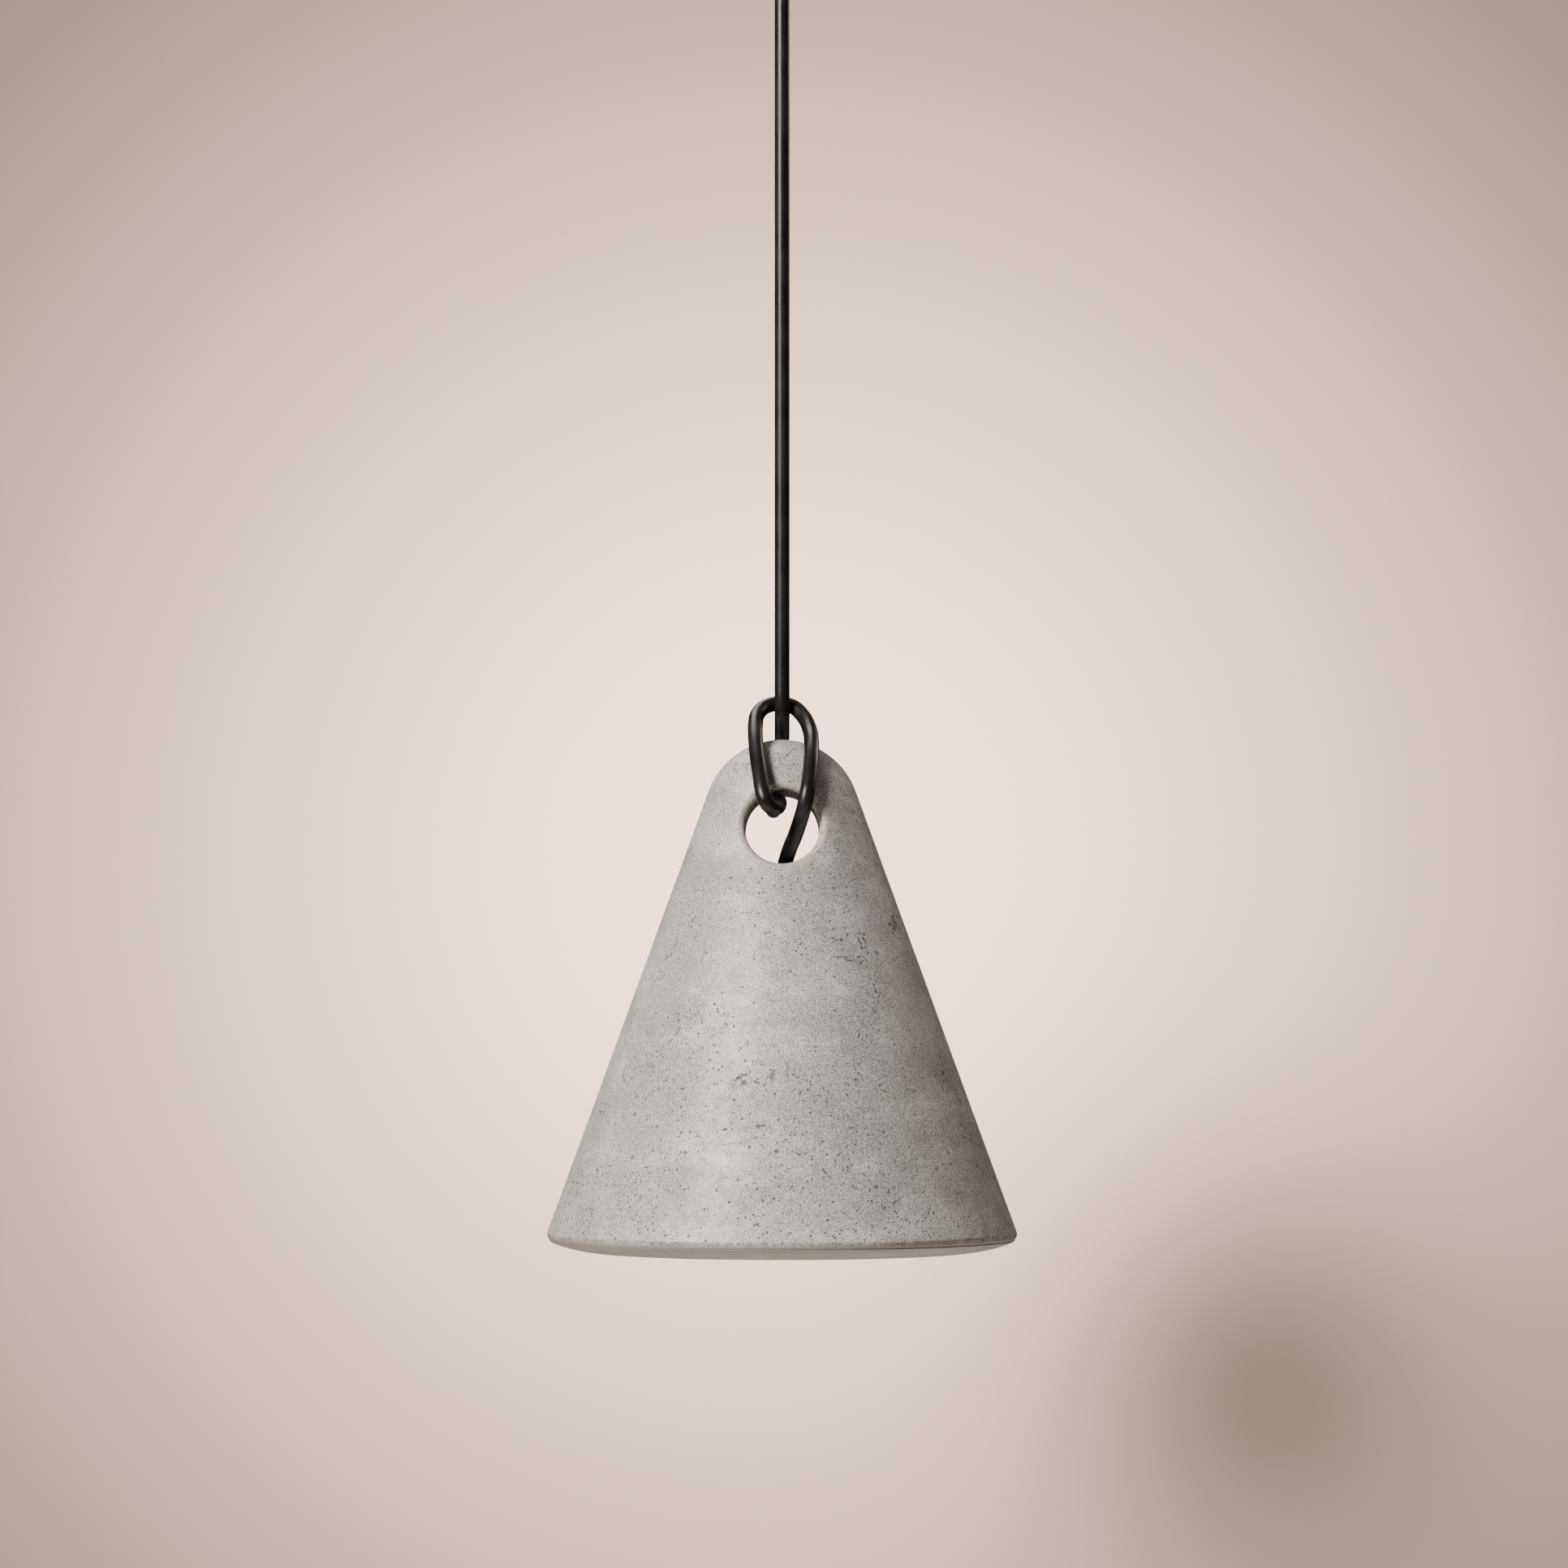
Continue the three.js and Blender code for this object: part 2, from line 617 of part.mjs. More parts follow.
function holderCap() {
  const shoulder = HOLDER_Z - HOLDER_BOSS_H;
  const bulge = HOLDER_R - HOLDER_BOSS_R - 1;
  return revolve(
    [
      [HOLDER_INNER_R, CAP_END_Z],
      [HOLDER_R, CAP_END_Z],
      ...arc(HOLDER_R - bulge, shoulder - bulge, bulge, 0, Math.PI / 2, 4),
      [HOLDER_BOSS_R, shoulder],
      [HOLDER_BOSS_R, HOLDER_Z],
      [TUBE_HOLE_R, HOLDER_Z],
      [TUBE_HOLE_R, shoulder - HOLDER_WALL],
      ...arc(HOLDER_R - bulge, shoulder - bulge, bulge - HOLDER_WALL, Math.PI / 2, 0, 4),
      [HOLDER_INNER_R, CAP_END_Z],
    ],
  );
}

function holderSkirt() {
  const lip = HOLDER_INNER_R - SKIRT_LIP;
  return revolve(
    [
      [lip, SKIRT_END_Z],
      [HOLDER_R - SKIRT_LIP, SKIRT_END_Z],
      [HOLDER_R, SKIRT_END_Z + SKIRT_LIP],
      [HOLDER_R, SKIRT_Z],
      [HOLDER_INNER_R, SKIRT_Z],
      [HOLDER_INNER_R, SKIRT_END_Z + SKIRT_LIP + 1],
      [lip, SKIRT_END_Z + SKIRT_LIP],
      [lip, SKIRT_END_Z],
    ],
  );
}

function bulbCap() {
  const low = BULB_Z + FIT;
  const inner = BULB_CAP_R - 0.8;
  return revolve(
    [
      [inner, low],
      [BULB_CAP_R, low],
      [BULB_CAP_R, low + BULB_CAP_H - 5],
      [BULB_CAP_R - 3, low + BULB_CAP_H - 1],
      [BULB_CAP_R - 3.8, low + BULB_CAP_H - 1],
      [inner, low + BULB_CAP_H - 5.4],
      [inner, low],
    ],
  );
}

function bulbInsulator() {
  const z = BULB_Z + FIT + BULB_CAP_H - 1;
  return revolve(
    [
      [2.4, z + FIT],
      [BULB_CAP_R - 3.4, z + FIT],
      [5, z + 2],
      [2.4, z + 2],
      [2.4, z + FIT],
    ],
    24,
  );
}

function bulbContact() {
  return revolve(
    [
      [0, BULB_CONTACT_Z - 2.4],
      [2, BULB_CONTACT_Z - 2.4],
      [2, BULB_CONTACT_Z + FIT],
      [3.4, BULB_CONTACT_Z + FIT],
      [2.6, BULB_CONTACT_Z + 1.1],
      [0, BULB_CONTACT_Z + 1.4],
    ],
    20,
  );
}

function bulbBody() {
  const low = BULB_BODY_END_Z;
  return revolve(
    [
      [BULB_R - 0.6 - BULB_WALL, low],
      [BULB_R - 0.6, low],
      [BULB_R - 1.2, low + 5],
      [BULB_CAP_R + 2.6, BULB_Z - 4],
      [BULB_CAP_R, BULB_Z],
      [BULB_CAP_R - BULB_WALL, BULB_Z],
      [BULB_CAP_R + 2.6 - BULB_WALL, BULB_Z - 4],
      [BULB_R - 1.2 - BULB_WALL, low + 5],
      [BULB_R - 0.6 - BULB_WALL, low],
    ],
  );
}

function bulbGlobe() {
  const top = BULB_BODY_END_Z - FIT;
  const start = -0.12;
  const centreZ = top - BULB_R * Math.sin(-start);
  const inner = BULB_R - BULB_WALL;
  return revolve(
    [
      ...arc(0, centreZ, BULB_R, -Math.PI / 2, start, 6),
      [BULB_R * Math.cos(start), top],
      [inner * Math.cos(start), top],
      ...arc(0, centreZ, inner, start, -Math.PI / 2, 6),
    ],
  );
}

// ---------------------------------------------------------------- assembly

const pendant = new THREE.Group();

part(pendant, 'ceiling_bracket', bracket(), zincSteel);
part(pendant, 'terminal_block', terminalBlock(), whitePlastic);
POLES.forEach((pole, i) => {
  const sleeve = cut(
    rodY(SLEEVE_R, BLOCK_W - 2, poleX(i), POLE_Z, 12),
    rodY(SLEEVE_BORE_R, BLOCK_W, poleX(i), POLE_Z, 12),
  );
  part(pendant, `terminal_sleeve_${pole}`, sleeve, brass);
  [-1, 1].forEach((side) => {
    const reach = BLOCK_H / 2 - SLEEVE_R - FIT - 1;
    const driverSlot = box(POLE_SCREW_D + 1, 0.6, 1.4, 0, 0, 0);
    const screw = cut(disc(POLE_SCREW_D / 2, 0, reach, 12), driverSlot);
    const end = side < 0 ? 'lamp' : 'mains';
    const mesh = part(pendant, `terminal_screw_${pole}_${end}`, screw, brass);
    mesh.position.set(poleX(i), side * POLE_SCREW_Y, BLOCK_END_Z + 1 - FIT);
  });
});
const earthScrew = part(pendant, 'earth_screw', slottedScrew(2.8, 1.8, POLE_SCREW_D / 2, 3.4), brass);
earthScrew.position.set(EARTH_X, EARTH_Y, -STRAP_T - FIT - 1.2);

['left', 'right'].forEach((name, i) => {
  const side = 2 * i - 1;
  const screw = slottedScrew(4, 2.6, CUP_SCREW_D / 2, 7.4).rotateY((-side * Math.PI) / 2);
  const mesh = part(pendant, `cup_screw_${name}`, screw, blackPaint);
  mesh.position.set(side * (CUP_R + FIT), 0, CUP_SCREW_Z);
});

part(pendant, 'ceiling_cup', ceilingCup(), blackPaint);
part(pendant, 'cord_grip', gripBody(), blackNylon);
const gripWasher = ring(
  GRIP_STEM_R + GRIP_WASHER_W,
  GRIP_STEM_HOLE_R,
  GRIP_WASHER_Z,
  GRIP_WASHER_Z + GRIP_WASHER_T,
);
part(pendant, 'grip_washer', gripWasher, zincSteel);
const gripNut = cut(
  hexagon(2 * (GRIP_STEM_R + GRIP_NUT_WALL), GRIP_NUT_Z, GRIP_NUT_Z + GRIP_NUT_T),
  disc(GRIP_STEM_HOLE_R, GRIP_NUT_Z - 1, GRIP_NUT_Z + GRIP_NUT_T + 1, 24),
);
part(pendant, 'grip_nut', gripNut, zincSteel);
const gripScrewMesh = part(pendant, 'grip_screw', gripScrew(), zincSteel);
gripScrewMesh.position.set(CORD_R + FIT, 0, GRIP_SCREW_Z);

// the two cores rise from the sheath's end, bow out sideways and enter the block from the lamp side
const leadRoute = (side) => [
  [side * LEAD_SPREAD, 0, SHEATH_TOP_Z + FIT],
  [side * LEAD_SPREAD, -0.3, SHEATH_TOP_Z + 2],
  [side * 4, -6, SHEATH_TOP_Z + 3.6],
  [side * 9, -15, SHEATH_TOP_Z + 7],
  [side * (POLE_PITCH + 1), -20, POLE_Z - 4],
  [side * POLE_PITCH, -19, POLE_Z],
  [side * POLE_PITCH, -14, POLE_Z],
  [side * POLE_PITCH, -BLOCK_W / 2 + 4, POLE_Z],
];
part(pendant, 'lead_live', cordAlong(leadRoute(-1), LEAD_D, 8, 14), brownCore);
part(pendant, 'lead_neutral', cordAlong(leadRoute(1), LEAD_D, 8, 14), blueCore);
const earthRoute = [
  [0, BLOCK_W / 2 - 4, POLE_Z],
  [0, 13, POLE_Z],
  [4, 16.6, POLE_Z + 0.4],
  [14, 16, POLE_Z + 2],
  [25, 10.6, -STRAP_T - FIT - 3],
  [EARTH_X - 4.6, EARTH_Y, -STRAP_T - FIT - LEAD_D / 2],
];
part(pendant, 'lead_earth', cordAlong(earthRoute, LEAD_D, 8, 12), earthCore);

part(pendant, 'cord_in_grip', straightCord(SWING_X_Z + CORD_R + FIT, SHEATH_TOP_Z), blackCord);
const bend = straightCord(SWING_Y_Z + CORD_R + FIT, SWING_X_Z + CORD_R, true);
part(pendant, 'cord_bend', bend, blackCord);
part(pendant, 'cord_link', straightCord(TWIST_Z + FIT / 2, SWING_Y_Z + CORD_R, true), blackCord);
const drop = straightCord(HITCH_START_Z - DROP + FIT, TWIST_Z - FIT / 2);
part(pendant, 'cord_drop', drop, blackCord);

const shade = new THREE.Group();
shade.position.z = -DROP;
pendant.add(shade);
part(shade, 'cord_hitch', cordAlong(HITCH_ROUTE, CORD_D, CORD_SIDES, HITCH_STEPS), blackCord);
part(shade, 'concrete_shade', concreteShade(), concrete);
part(shade, 'eye_bush', eyeBush(), blackNylon);
part(shade, 'threaded_tube', ring(TUBE_R, TUBE_BORE_R, TUBE_END_Z, TUBE_TOP_Z, 24), zincSteel);
const tubeWasher = ring(
  TUBE_R + WASHER_W,
  TUBE_HOLE_R,
  WASHER_Z - WASHER_T / 2,
  WASHER_Z + WASHER_T / 2,
);
part(shade, 'tube_washer', tubeWasher, zincSteel);
const tubeNut = cut(
  hexagon(2 * (TUBE_R + NUT_WALL), NUT_Z - NUT_T / 2, NUT_Z + NUT_T / 2),
  disc(TUBE_HOLE_R, NUT_Z - NUT_T, NUT_Z + NUT_T, 24),
);
part(shade, 'tube_nut', tubeNut, zincSteel);
part(shade, 'holder_cap', holderCap(), blackNylon);
part(shade, 'holder_skirt', holderSkirt(), blackNylon);

const insert = cut(
  disc(HOLDER_INNER_R - FIT, INSERT_Z - INSERT_T / 2, INSERT_Z + INSERT_T / 2),
  ...[-1, 1].map((side) => {
    const hole = disc(TERMINAL_SCREW_D / 2 + FIT, INSERT_Z - INSERT_T, INSERT_Z + INSERT_T, 12);
    return hole.translate(side * TERMINAL_X, 0, 0);
  }),
);
part(shade, 'holder_insert', insert, ceramic);
['live', 'neutral'].forEach((pole, i) => {
  const side = 2 * i - 1;
  const screw = slottedScrew(2.8, 2, TERMINAL_SCREW_D / 2, 5).rotateX(Math.PI);
  const mesh = part(shade, `holder_screw_${pole}`, screw, brass);
  mesh.position.set(side * TERMINAL_X, 0, TERMINAL_Z);
});
const coreRoute = (side) => [
  [side * LEAD_SPREAD, 0, HITCH_END_Z - FIT],
  [side * LEAD_SPREAD, 0, TUBE_END_Z + 1],
  [side * 2, -1.6, TUBE_END_Z - 3],
  [side * 5, -5.6, (TUBE_END_Z + INSERT_Z) / 2],
  [side * (TERMINAL_X - 1.5), -7, TERMINAL_Z + 1.6],
  [side * TERMINAL_X, -4.6, TERMINAL_Z],
];
part(shade, 'core_live', cordAlong(coreRoute(-1), LEAD_D, 8, 14), brownCore);
part(shade, 'core_neutral', cordAlong(coreRoute(1), LEAD_D, 8, 14), blueCore);
const screwShell = ring(THREAD_R, THREAD_R - THREAD_WALL, THREAD_Z - THREAD_H, THREAD_Z);
part(shade, 'screw_shell', screwShell, brass);
const contactLow = BULB_CONTACT_Z + 1.4 + FIT;
part(shade, 'centre_contact', disc(3.6, contactLow, THREAD_Z, 20), brass);

part(shade, 'bulb_cap', bulbCap(), zincSteel);
part(shade, 'bulb_insulator', bulbInsulator(), blackNylon);
part(shade, 'bulb_contact', bulbContact(), zincSteel);
part(shade, 'bulb_body', bulbBody(), whitePlastic);
const board = disc(BULB_R - BULB_WALL - 1.6, BULB_BODY_END_Z + 0.6, BULB_BODY_END_Z + 2.2);
part(shade, 'bulb_board', board, aluminium);
part(shade, 'bulb_globe', bulbGlobe(), opal);

export default pendant;
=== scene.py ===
"""Concrete cone pendant light: its surfaces and finishes, laid over the part's frame.

Lengths in the property groups are in metres. Outlines inside the functions are in millimetres.
"""

import json
import math

import bmesh
import bpy
from bpy.props import FloatProperty, FloatVectorProperty, PointerProperty
from mathutils import Matrix, Vector


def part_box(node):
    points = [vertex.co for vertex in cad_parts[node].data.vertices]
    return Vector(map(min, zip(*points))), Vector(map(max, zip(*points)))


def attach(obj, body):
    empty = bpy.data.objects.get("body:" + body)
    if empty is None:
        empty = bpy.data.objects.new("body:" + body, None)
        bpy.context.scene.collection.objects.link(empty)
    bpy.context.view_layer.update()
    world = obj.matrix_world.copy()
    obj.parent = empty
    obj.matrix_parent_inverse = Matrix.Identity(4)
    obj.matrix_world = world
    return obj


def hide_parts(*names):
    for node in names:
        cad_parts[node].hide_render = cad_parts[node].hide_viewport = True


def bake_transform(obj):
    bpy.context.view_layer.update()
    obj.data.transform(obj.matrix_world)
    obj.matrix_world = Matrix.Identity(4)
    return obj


bl_info = {
    "name": "Concrete cone pendant",
    "version": (1, 0, 0),
    "blender": (4, 5, 0),
    "location": "View3D > Sidebar > Pendant",
    "description": "Makes a cast concrete cone pendant light with its hitched cord and ceiling cup",
    "category": "Object",
}

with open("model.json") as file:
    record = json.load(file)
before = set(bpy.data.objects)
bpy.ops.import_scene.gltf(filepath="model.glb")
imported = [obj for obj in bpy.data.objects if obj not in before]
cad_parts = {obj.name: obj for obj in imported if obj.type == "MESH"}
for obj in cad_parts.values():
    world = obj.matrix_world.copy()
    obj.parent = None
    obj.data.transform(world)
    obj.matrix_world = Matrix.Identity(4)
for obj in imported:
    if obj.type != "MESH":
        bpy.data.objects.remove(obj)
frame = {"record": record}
MM = 0.001
SHADE_LOW, SHADE_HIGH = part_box("concrete_shade")
DROP = -SHADE_HIGH.z  # ceiling to the top of the dome
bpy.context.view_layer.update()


# ---------------------------------------------------------------- sizes and colours


def length(name, description, default):
    return FloatProperty(name=name, description=description, default=default, unit="LENGTH")


def colour(name, description, default):
    return FloatVectorProperty(
        name=name, description=description, default=default, subtype="COLOR", size=3, min=0, max=1
    )


class ShadeSizes(bpy.types.PropertyGroup):
    dome: length("Dome", "Radius of the domed top", 0.0336)
    half_angle: FloatProperty(
        name="Half angle",
        description="Slope of the cone",
        default=math.radians(20),
        unit="ROTATION",
    )
    corner: length("Corner", "Rounding at the foot of the cone", 0.0032)
    lip_inner: length("Lip", "Radius where the underside turns up", 0.080)
    lip_drop: length("Lip drop", "Swelling of the underside below the corner", 0.005)
    wall: length("Wall", "Wall at the top of the cavity", 0.011)
    cavity_ease: length("Cavity ease", "Rounding at the top of the cavity", 0.009)
    eye: length("Eye", "Radius of the eye", 0.0158)
    eye_depth: length("Eye depth", "Middle of the eye below the dome", 0.0388)
    eye_ease: length("Eye ease", "Rounding of the eye's mouths", 0.0025)
    floor: length("Floor", "Concrete between the eye and the cavity", 0.0194)


class CordSizes(bpy.types.PropertyGroup):
    diameter: length("Cord", "Diameter of the round sheath", 0.0065)
    core: length("Core", "Diameter of one insulated core", 0.0022)


class Colours(bpy.types.PropertyGroup):
    concrete: colour("Concrete", "Cast face", (0.575, 0.568, 0.557))
    concrete_dark: colour("Concrete, damp", "Darker clouds in the cast face", (0.43, 0.424, 0.413))
    # the underside's colour is darker and browner than the cast face: painted shade, as the
    # underside faces down away from the light
    trowelled: colour("Concrete, trowelled", "Underside of the rim", (0.33, 0.305, 0.278))
    sheath: colour("Cord", "Sheath of the cord", (0.0075, 0.0075, 0.008))
    paint: colour("Cup", "Paint of the ceiling cup", (0.018, 0.018, 0.020))


def shade_sizes():
    return bpy.context.scene.pendant_shade


def cord_sizes():
    return bpy.context.scene.pendant_cord


def colours():
    return bpy.context.scene.pendant_colours


# ---------------------------------------------------------------- mesh helpers


def smoothed(bm, sharp):
    """Shades a bmesh smooth, apart from edges as sharp as the angle in degrees."""
    limit = math.radians(sharp)
    for face in bm.faces:
        face.smooth = True
    for edge in bm.edges:
        if len(edge.link_faces) == 2:
            edge.smooth = edge.calc_face_angle(0) < limit


def finish_mesh(name, bm, sharp=32):
    """Turns a bmesh in millimetres into a smooth-shaded object with its sharp edges marked."""
    bmesh.ops.remove_doubles(bm, verts=bm.verts, dist=1e-5)
    bmesh.ops.recalc_face_normals(bm, faces=bm.faces)
    smoothed(bm, sharp)
    mesh = bpy.data.meshes.new(name)
    bmesh.ops.scale(bm, vec=(MM, MM, MM), verts=bm.verts)
    bm.to_mesh(mesh)
    bm.free()
    piece = bpy.data.objects.new(name, mesh)
    bpy.context.scene.collection.objects.link(piece)
    return piece


def ring_solid(name, bm, rings, sharp=32):
    """A solid whose wall runs from ring to ring, closed at both ends."""
    for low, high in zip(rings, rings[1:]):
        for k in range(len(low)):
            n = (k + 1) % len(low)
            bm.faces.new((low[k], low[n], high[n], high[k]))
    bm.faces.new(list(reversed(rings[0])))
    bm.faces.new(rings[-1])
    return finish_mesh(name, bm, sharp)


def eased(corners, closed=True, steps=5):
    """An outline through (radius, height, rounding) corners, with an arc at each rounded one."""
    points = []
    count = len(corners)
    for i, (r, z, ease) in enumerate(corners):
        here = Vector((r, z))
        if ease <= 0 or (not closed and i in (0, count - 1)):
            points.append((r, z))
            continue
        before = Vector(corners[i - 1][:2]) - here
        after = Vector(corners[(i + 1) % count][:2]) - here
        angle = before.angle(after)
        reach = min(ease / math.tan(angle / 2), 0.48 * before.length, 0.48 * after.length)
        start = here + before.normalized() * reach
        end = here + after.normalized() * reach
        for k in range(steps + 1):
            t = k / steps
            points.append(tuple(start.lerp(here, t).lerp(here.lerp(end, t), t)))
    return points


def turned(outline, steps=96, closed=True):
    """Turns an outline of (radius, height) points round Z.

    A radius may be a function of the angle.
    """
    bm = bmesh.new()
    rings = []
    for radius, z in outline:
        if not callable(radius) and radius < 1e-6:
            rings.append([bm.verts.new((0, 0, z))])
            continue
        ring = []
        for k in range(steps):
            a = 2 * math.pi * k / steps
            r = radius(a) if callable(radius) else radius
            ring.append(bm.verts.new((r * math.cos(a), r * math.sin(a), z)))
        rings.append(ring)
    pairs = list(zip(rings, rings[1:]))
    if closed and len(rings[0]) > 1 and len(rings[-1]) > 1:
        pairs.append((rings[-1], rings[0]))
    for low, high in pairs:
        for k in range(steps):
            n = (k + 1) % steps
            a, b = len(low), len(high)
            quad = [low[k % a], low[n % a], high[n % b], high[k % b]]
            corners = list(dict.fromkeys(quad))
            if len(corners) > 2:
                bm.faces.new(corners)
    return bm


def hex_radius(across_flats):
    """The radius of a hexagon's outline at an angle."""
    flat = across_flats / 2

    def radius(angle):
        turn = (angle + math.pi / 6) % (math.pi / 3) - math.pi / 6
        return flat / math.cos(turn)

    return radius


def capped(radius, limit):
    """An outline radius held inside a circle, as the turned chamfer of a nut is."""
    return lambda angle: min(radius(angle), limit)


def fluted(radius, depth, count):
    return lambda angle: radius - depth * (0.5 - 0.5 * math.cos(count * angle)) ** 2


def thread(radius, low, high, pitch, depth):
    """The ridges of a thread as an outline, from low to high."""
    points = []
    turns = max(1, round(abs(high - low) / pitch))
    step = (high - low) / turns
    for i in range(turns):
        z = low + i * step
        points += [(radius - depth, z), (radius - depth, z + 0.18 * step)]
        points += [(radius, z + 0.45 * step), (radius, z + 0.6 * step)]
    points.append((radius - depth, high))
    return points


def rope_thread(radius, low, high, pitch, depth):
    """The rounded thread of a screw cap."""
    steps = max(8, round(abs(high - low) / pitch * 8))
    return [
        (
            radius - depth * (0.5 - 0.5 * math.cos(2 * math.pi * (high - low) * t / steps / pitch)),
            low + (high - low) * t / steps,
        )
        for t in range(steps + 1)
    ]


def moved(piece, matrix):
    piece.data.transform(matrix)
    return piece


def at(x, y, z):
    return Matrix.Translation((x, y, z))


def applied(piece):
    """Bakes the piece's modifiers into its mesh."""
    bpy.context.view_layer.update()
    graph = bpy.context.evaluated_depsgraph_get()
    mesh = bpy.data.meshes.new_from_object(piece.evaluated_get(graph))
    old = piece.data
    piece.modifiers.clear()
    piece.data = mesh
    mesh.name = piece.name
    bpy.data.meshes.remove(old)
    return piece


def dropped(pieces):
    """Removes objects and their meshes."""
    for piece in pieces:
        mesh = piece.data
        bpy.data.objects.remove(piece)
        bpy.data.meshes.remove(mesh)


def cut(piece, *tools, operation="DIFFERENCE"):
    """Subtracts the tools from the piece, or adds them to it, then removes them."""
    for tool in tools:
        modifier = piece.modifiers.new("cut", "BOOLEAN")
        modifier.operation = operation
        modifier.solver = "EXACT"
        modifier.object = tool
    applied(piece)
    dropped(tools)
    return piece


def bevelled(piece, width, segments=3, angle=35):
    modifier = piece.modifiers.new("edges", "BEVEL")
    modifier.width = width * MM
    modifier.segments = segments
    modifier.limit_method = "ANGLE"
    modifier.angle_limit = math.radians(angle)
    modifier.miter_outer = "MITER_ARC"
    return applied(piece)


def shade_smooth(piece, sharp=32):
    bm = bmesh.new()
    bm.from_mesh(piece.data)
    smoothed(bm, sharp)
    bm.to_mesh(piece.data)
    bm.free()
    return piece


def block(name, low, high):
    """A box in millimetres, from its lowest to its highest corner."""
    bm = bmesh.new()
    bmesh.ops.create_cube(bm, size=1)
    size = [b - a for a, b in zip(low, high)]
    centre = [(a + b) / 2 for a, b in zip(low, high)]
    bmesh.ops.scale(bm, vec=size, verts=bm.verts)
    bmesh.ops.translate(bm, vec=centre, verts=bm.verts)
    return finish_mesh(name, bm)


def rod(name, radius, low, high, x=0.0, y=0.0, steps=32):
    """A plain round bar along Z, in millimetres, used as a cutter."""
    piece = finish_mesh(name, turned([(0, low), (radius, low), (radius, high), (0, high)], steps))
    return moved(piece, at(x * MM, y * MM, 0))


def prism(name, outline, low, high, axis="Z"):
    """A flat outline raised from low to high along an axis, in millimetres."""
    place = {
        "X": lambda a, b, along: (along, a, b),
        "Y": lambda a, b, along: (a, along, b),
        "Z": lambda a, b, along: (a, b, along),
    }[axis]
    bm = bmesh.new()
    lows = [bm.verts.new(place(a, b, low)) for a, b in outline]
    highs = [bm.verts.new(place(a, b, high)) for a, b in outline]
    bm.faces.new(lows)
    bm.faces.new(highs)
    for k in range(len(outline)):
        n = (k + 1) % len(outline)
        bm.faces.new((lows[k], lows[n], highs[n], highs[k]))
    return finish_mesh(name, bm)


def arc_steps(first, last, count):
    return [first + (last - first) * k / count for k in range(count + 1)]


def arc(x, y, radius, first, last, count):
    """Points on an arc round (x, y)."""
    steps = arc_steps(first, last, count)
    return [(x + radius * math.cos(a), y + radius * math.sin(a)) for a in steps]


def slot_outline(long, wide, steps=10):
    """A round-ended slot along the first axis, round the middle."""
    reach, r, quarter = (long - wide) / 2, wide / 2, math.pi / 2
    right = arc(reach, 0, r, -quarter, quarter, steps)
    return right + arc(-reach, 0, r, quarter, 3 * quarter, steps)


def rounded_box(name, low, high, ease, segments=3):
    return shade_smooth(bevelled(block(name, low, high), ease, segments))


def spans(node):
    """A node's radius, foot and top in millimetres."""
    low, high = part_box(node)
    return (high.x - low.x) / 2 / MM, low.z / MM, high.z / MM


def middle(node):
    """The middle of a node's box in millimetres."""
    return tuple((a + b) / 2 / MM for a, b in zip(*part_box(node)))


def turned_piece(name, corners, steps=72, sharp=32, ease_steps=5):
    """A turned solid through eased corners of (radius, height, rounding)."""
    return finish_mesh(name, turned(eased(corners, steps=ease_steps), steps), sharp)


def screw(name, head_r, head_h, shank_r, reach, pitch=0.7, slot=0.9):
    """A slotted screw standing on its head: the seat of the head is at zero and the tip is up."""
    head = [(0, -head_h, 0), (head_r, -head_h, 0.3)]
    if head_r > shank_r:
        head.append((head_r, 0, 0.12))
    corners = eased(head + [(shank_r, 0, 0)], closed=False)
    corners += thread(shank_r, 0.2, reach - 0.5, pitch, 0.16 * shank_r)
    corners += [(0.62 * shank_r, reach), (0, reach)]
    piece = finish_mesh(name, turned(corners, 40, closed=False))
    deep = 0.5 * head_h if head_h > 1 else 1.2
    reach = head_r + 1
    driver = block("driver", (-reach, -slot / 2, -head_h - 1), (reach, slot / 2, deep - head_h))
    return shade_smooth(cut(piece, driver))


def placed(piece, turn=None, to=(0, 0, 0)):
    """Turns a piece about the origin and moves it to a place in millimetres."""
    matrix = Matrix.Translation([c * MM for c in to])
    if turn:
        matrix = matrix @ Matrix.Rotation(turn[0], 4, turn[1])
    return moved(piece, matrix)


def joined(name, *pieces):
    """One object from several, each staying its own shell."""
    bm = bmesh.new()
    for piece in pieces:
        bm.from_mesh(piece.data)
    dropped(pieces)
    mesh = bpy.data.meshes.new(name)
    bm.to_mesh(mesh)
    bm.free()
    whole = bpy.data.objects.new(name, mesh)
    bpy.context.scene.collection.objects.link(whole)
    return whole


def lathed(name, finish, body, slot, node, corners, steps=72):
    """A turned piece through eased corners, dressed and set on its body."""
    return settle(turned_piece(name, corners, steps), finish, body, slot, node)


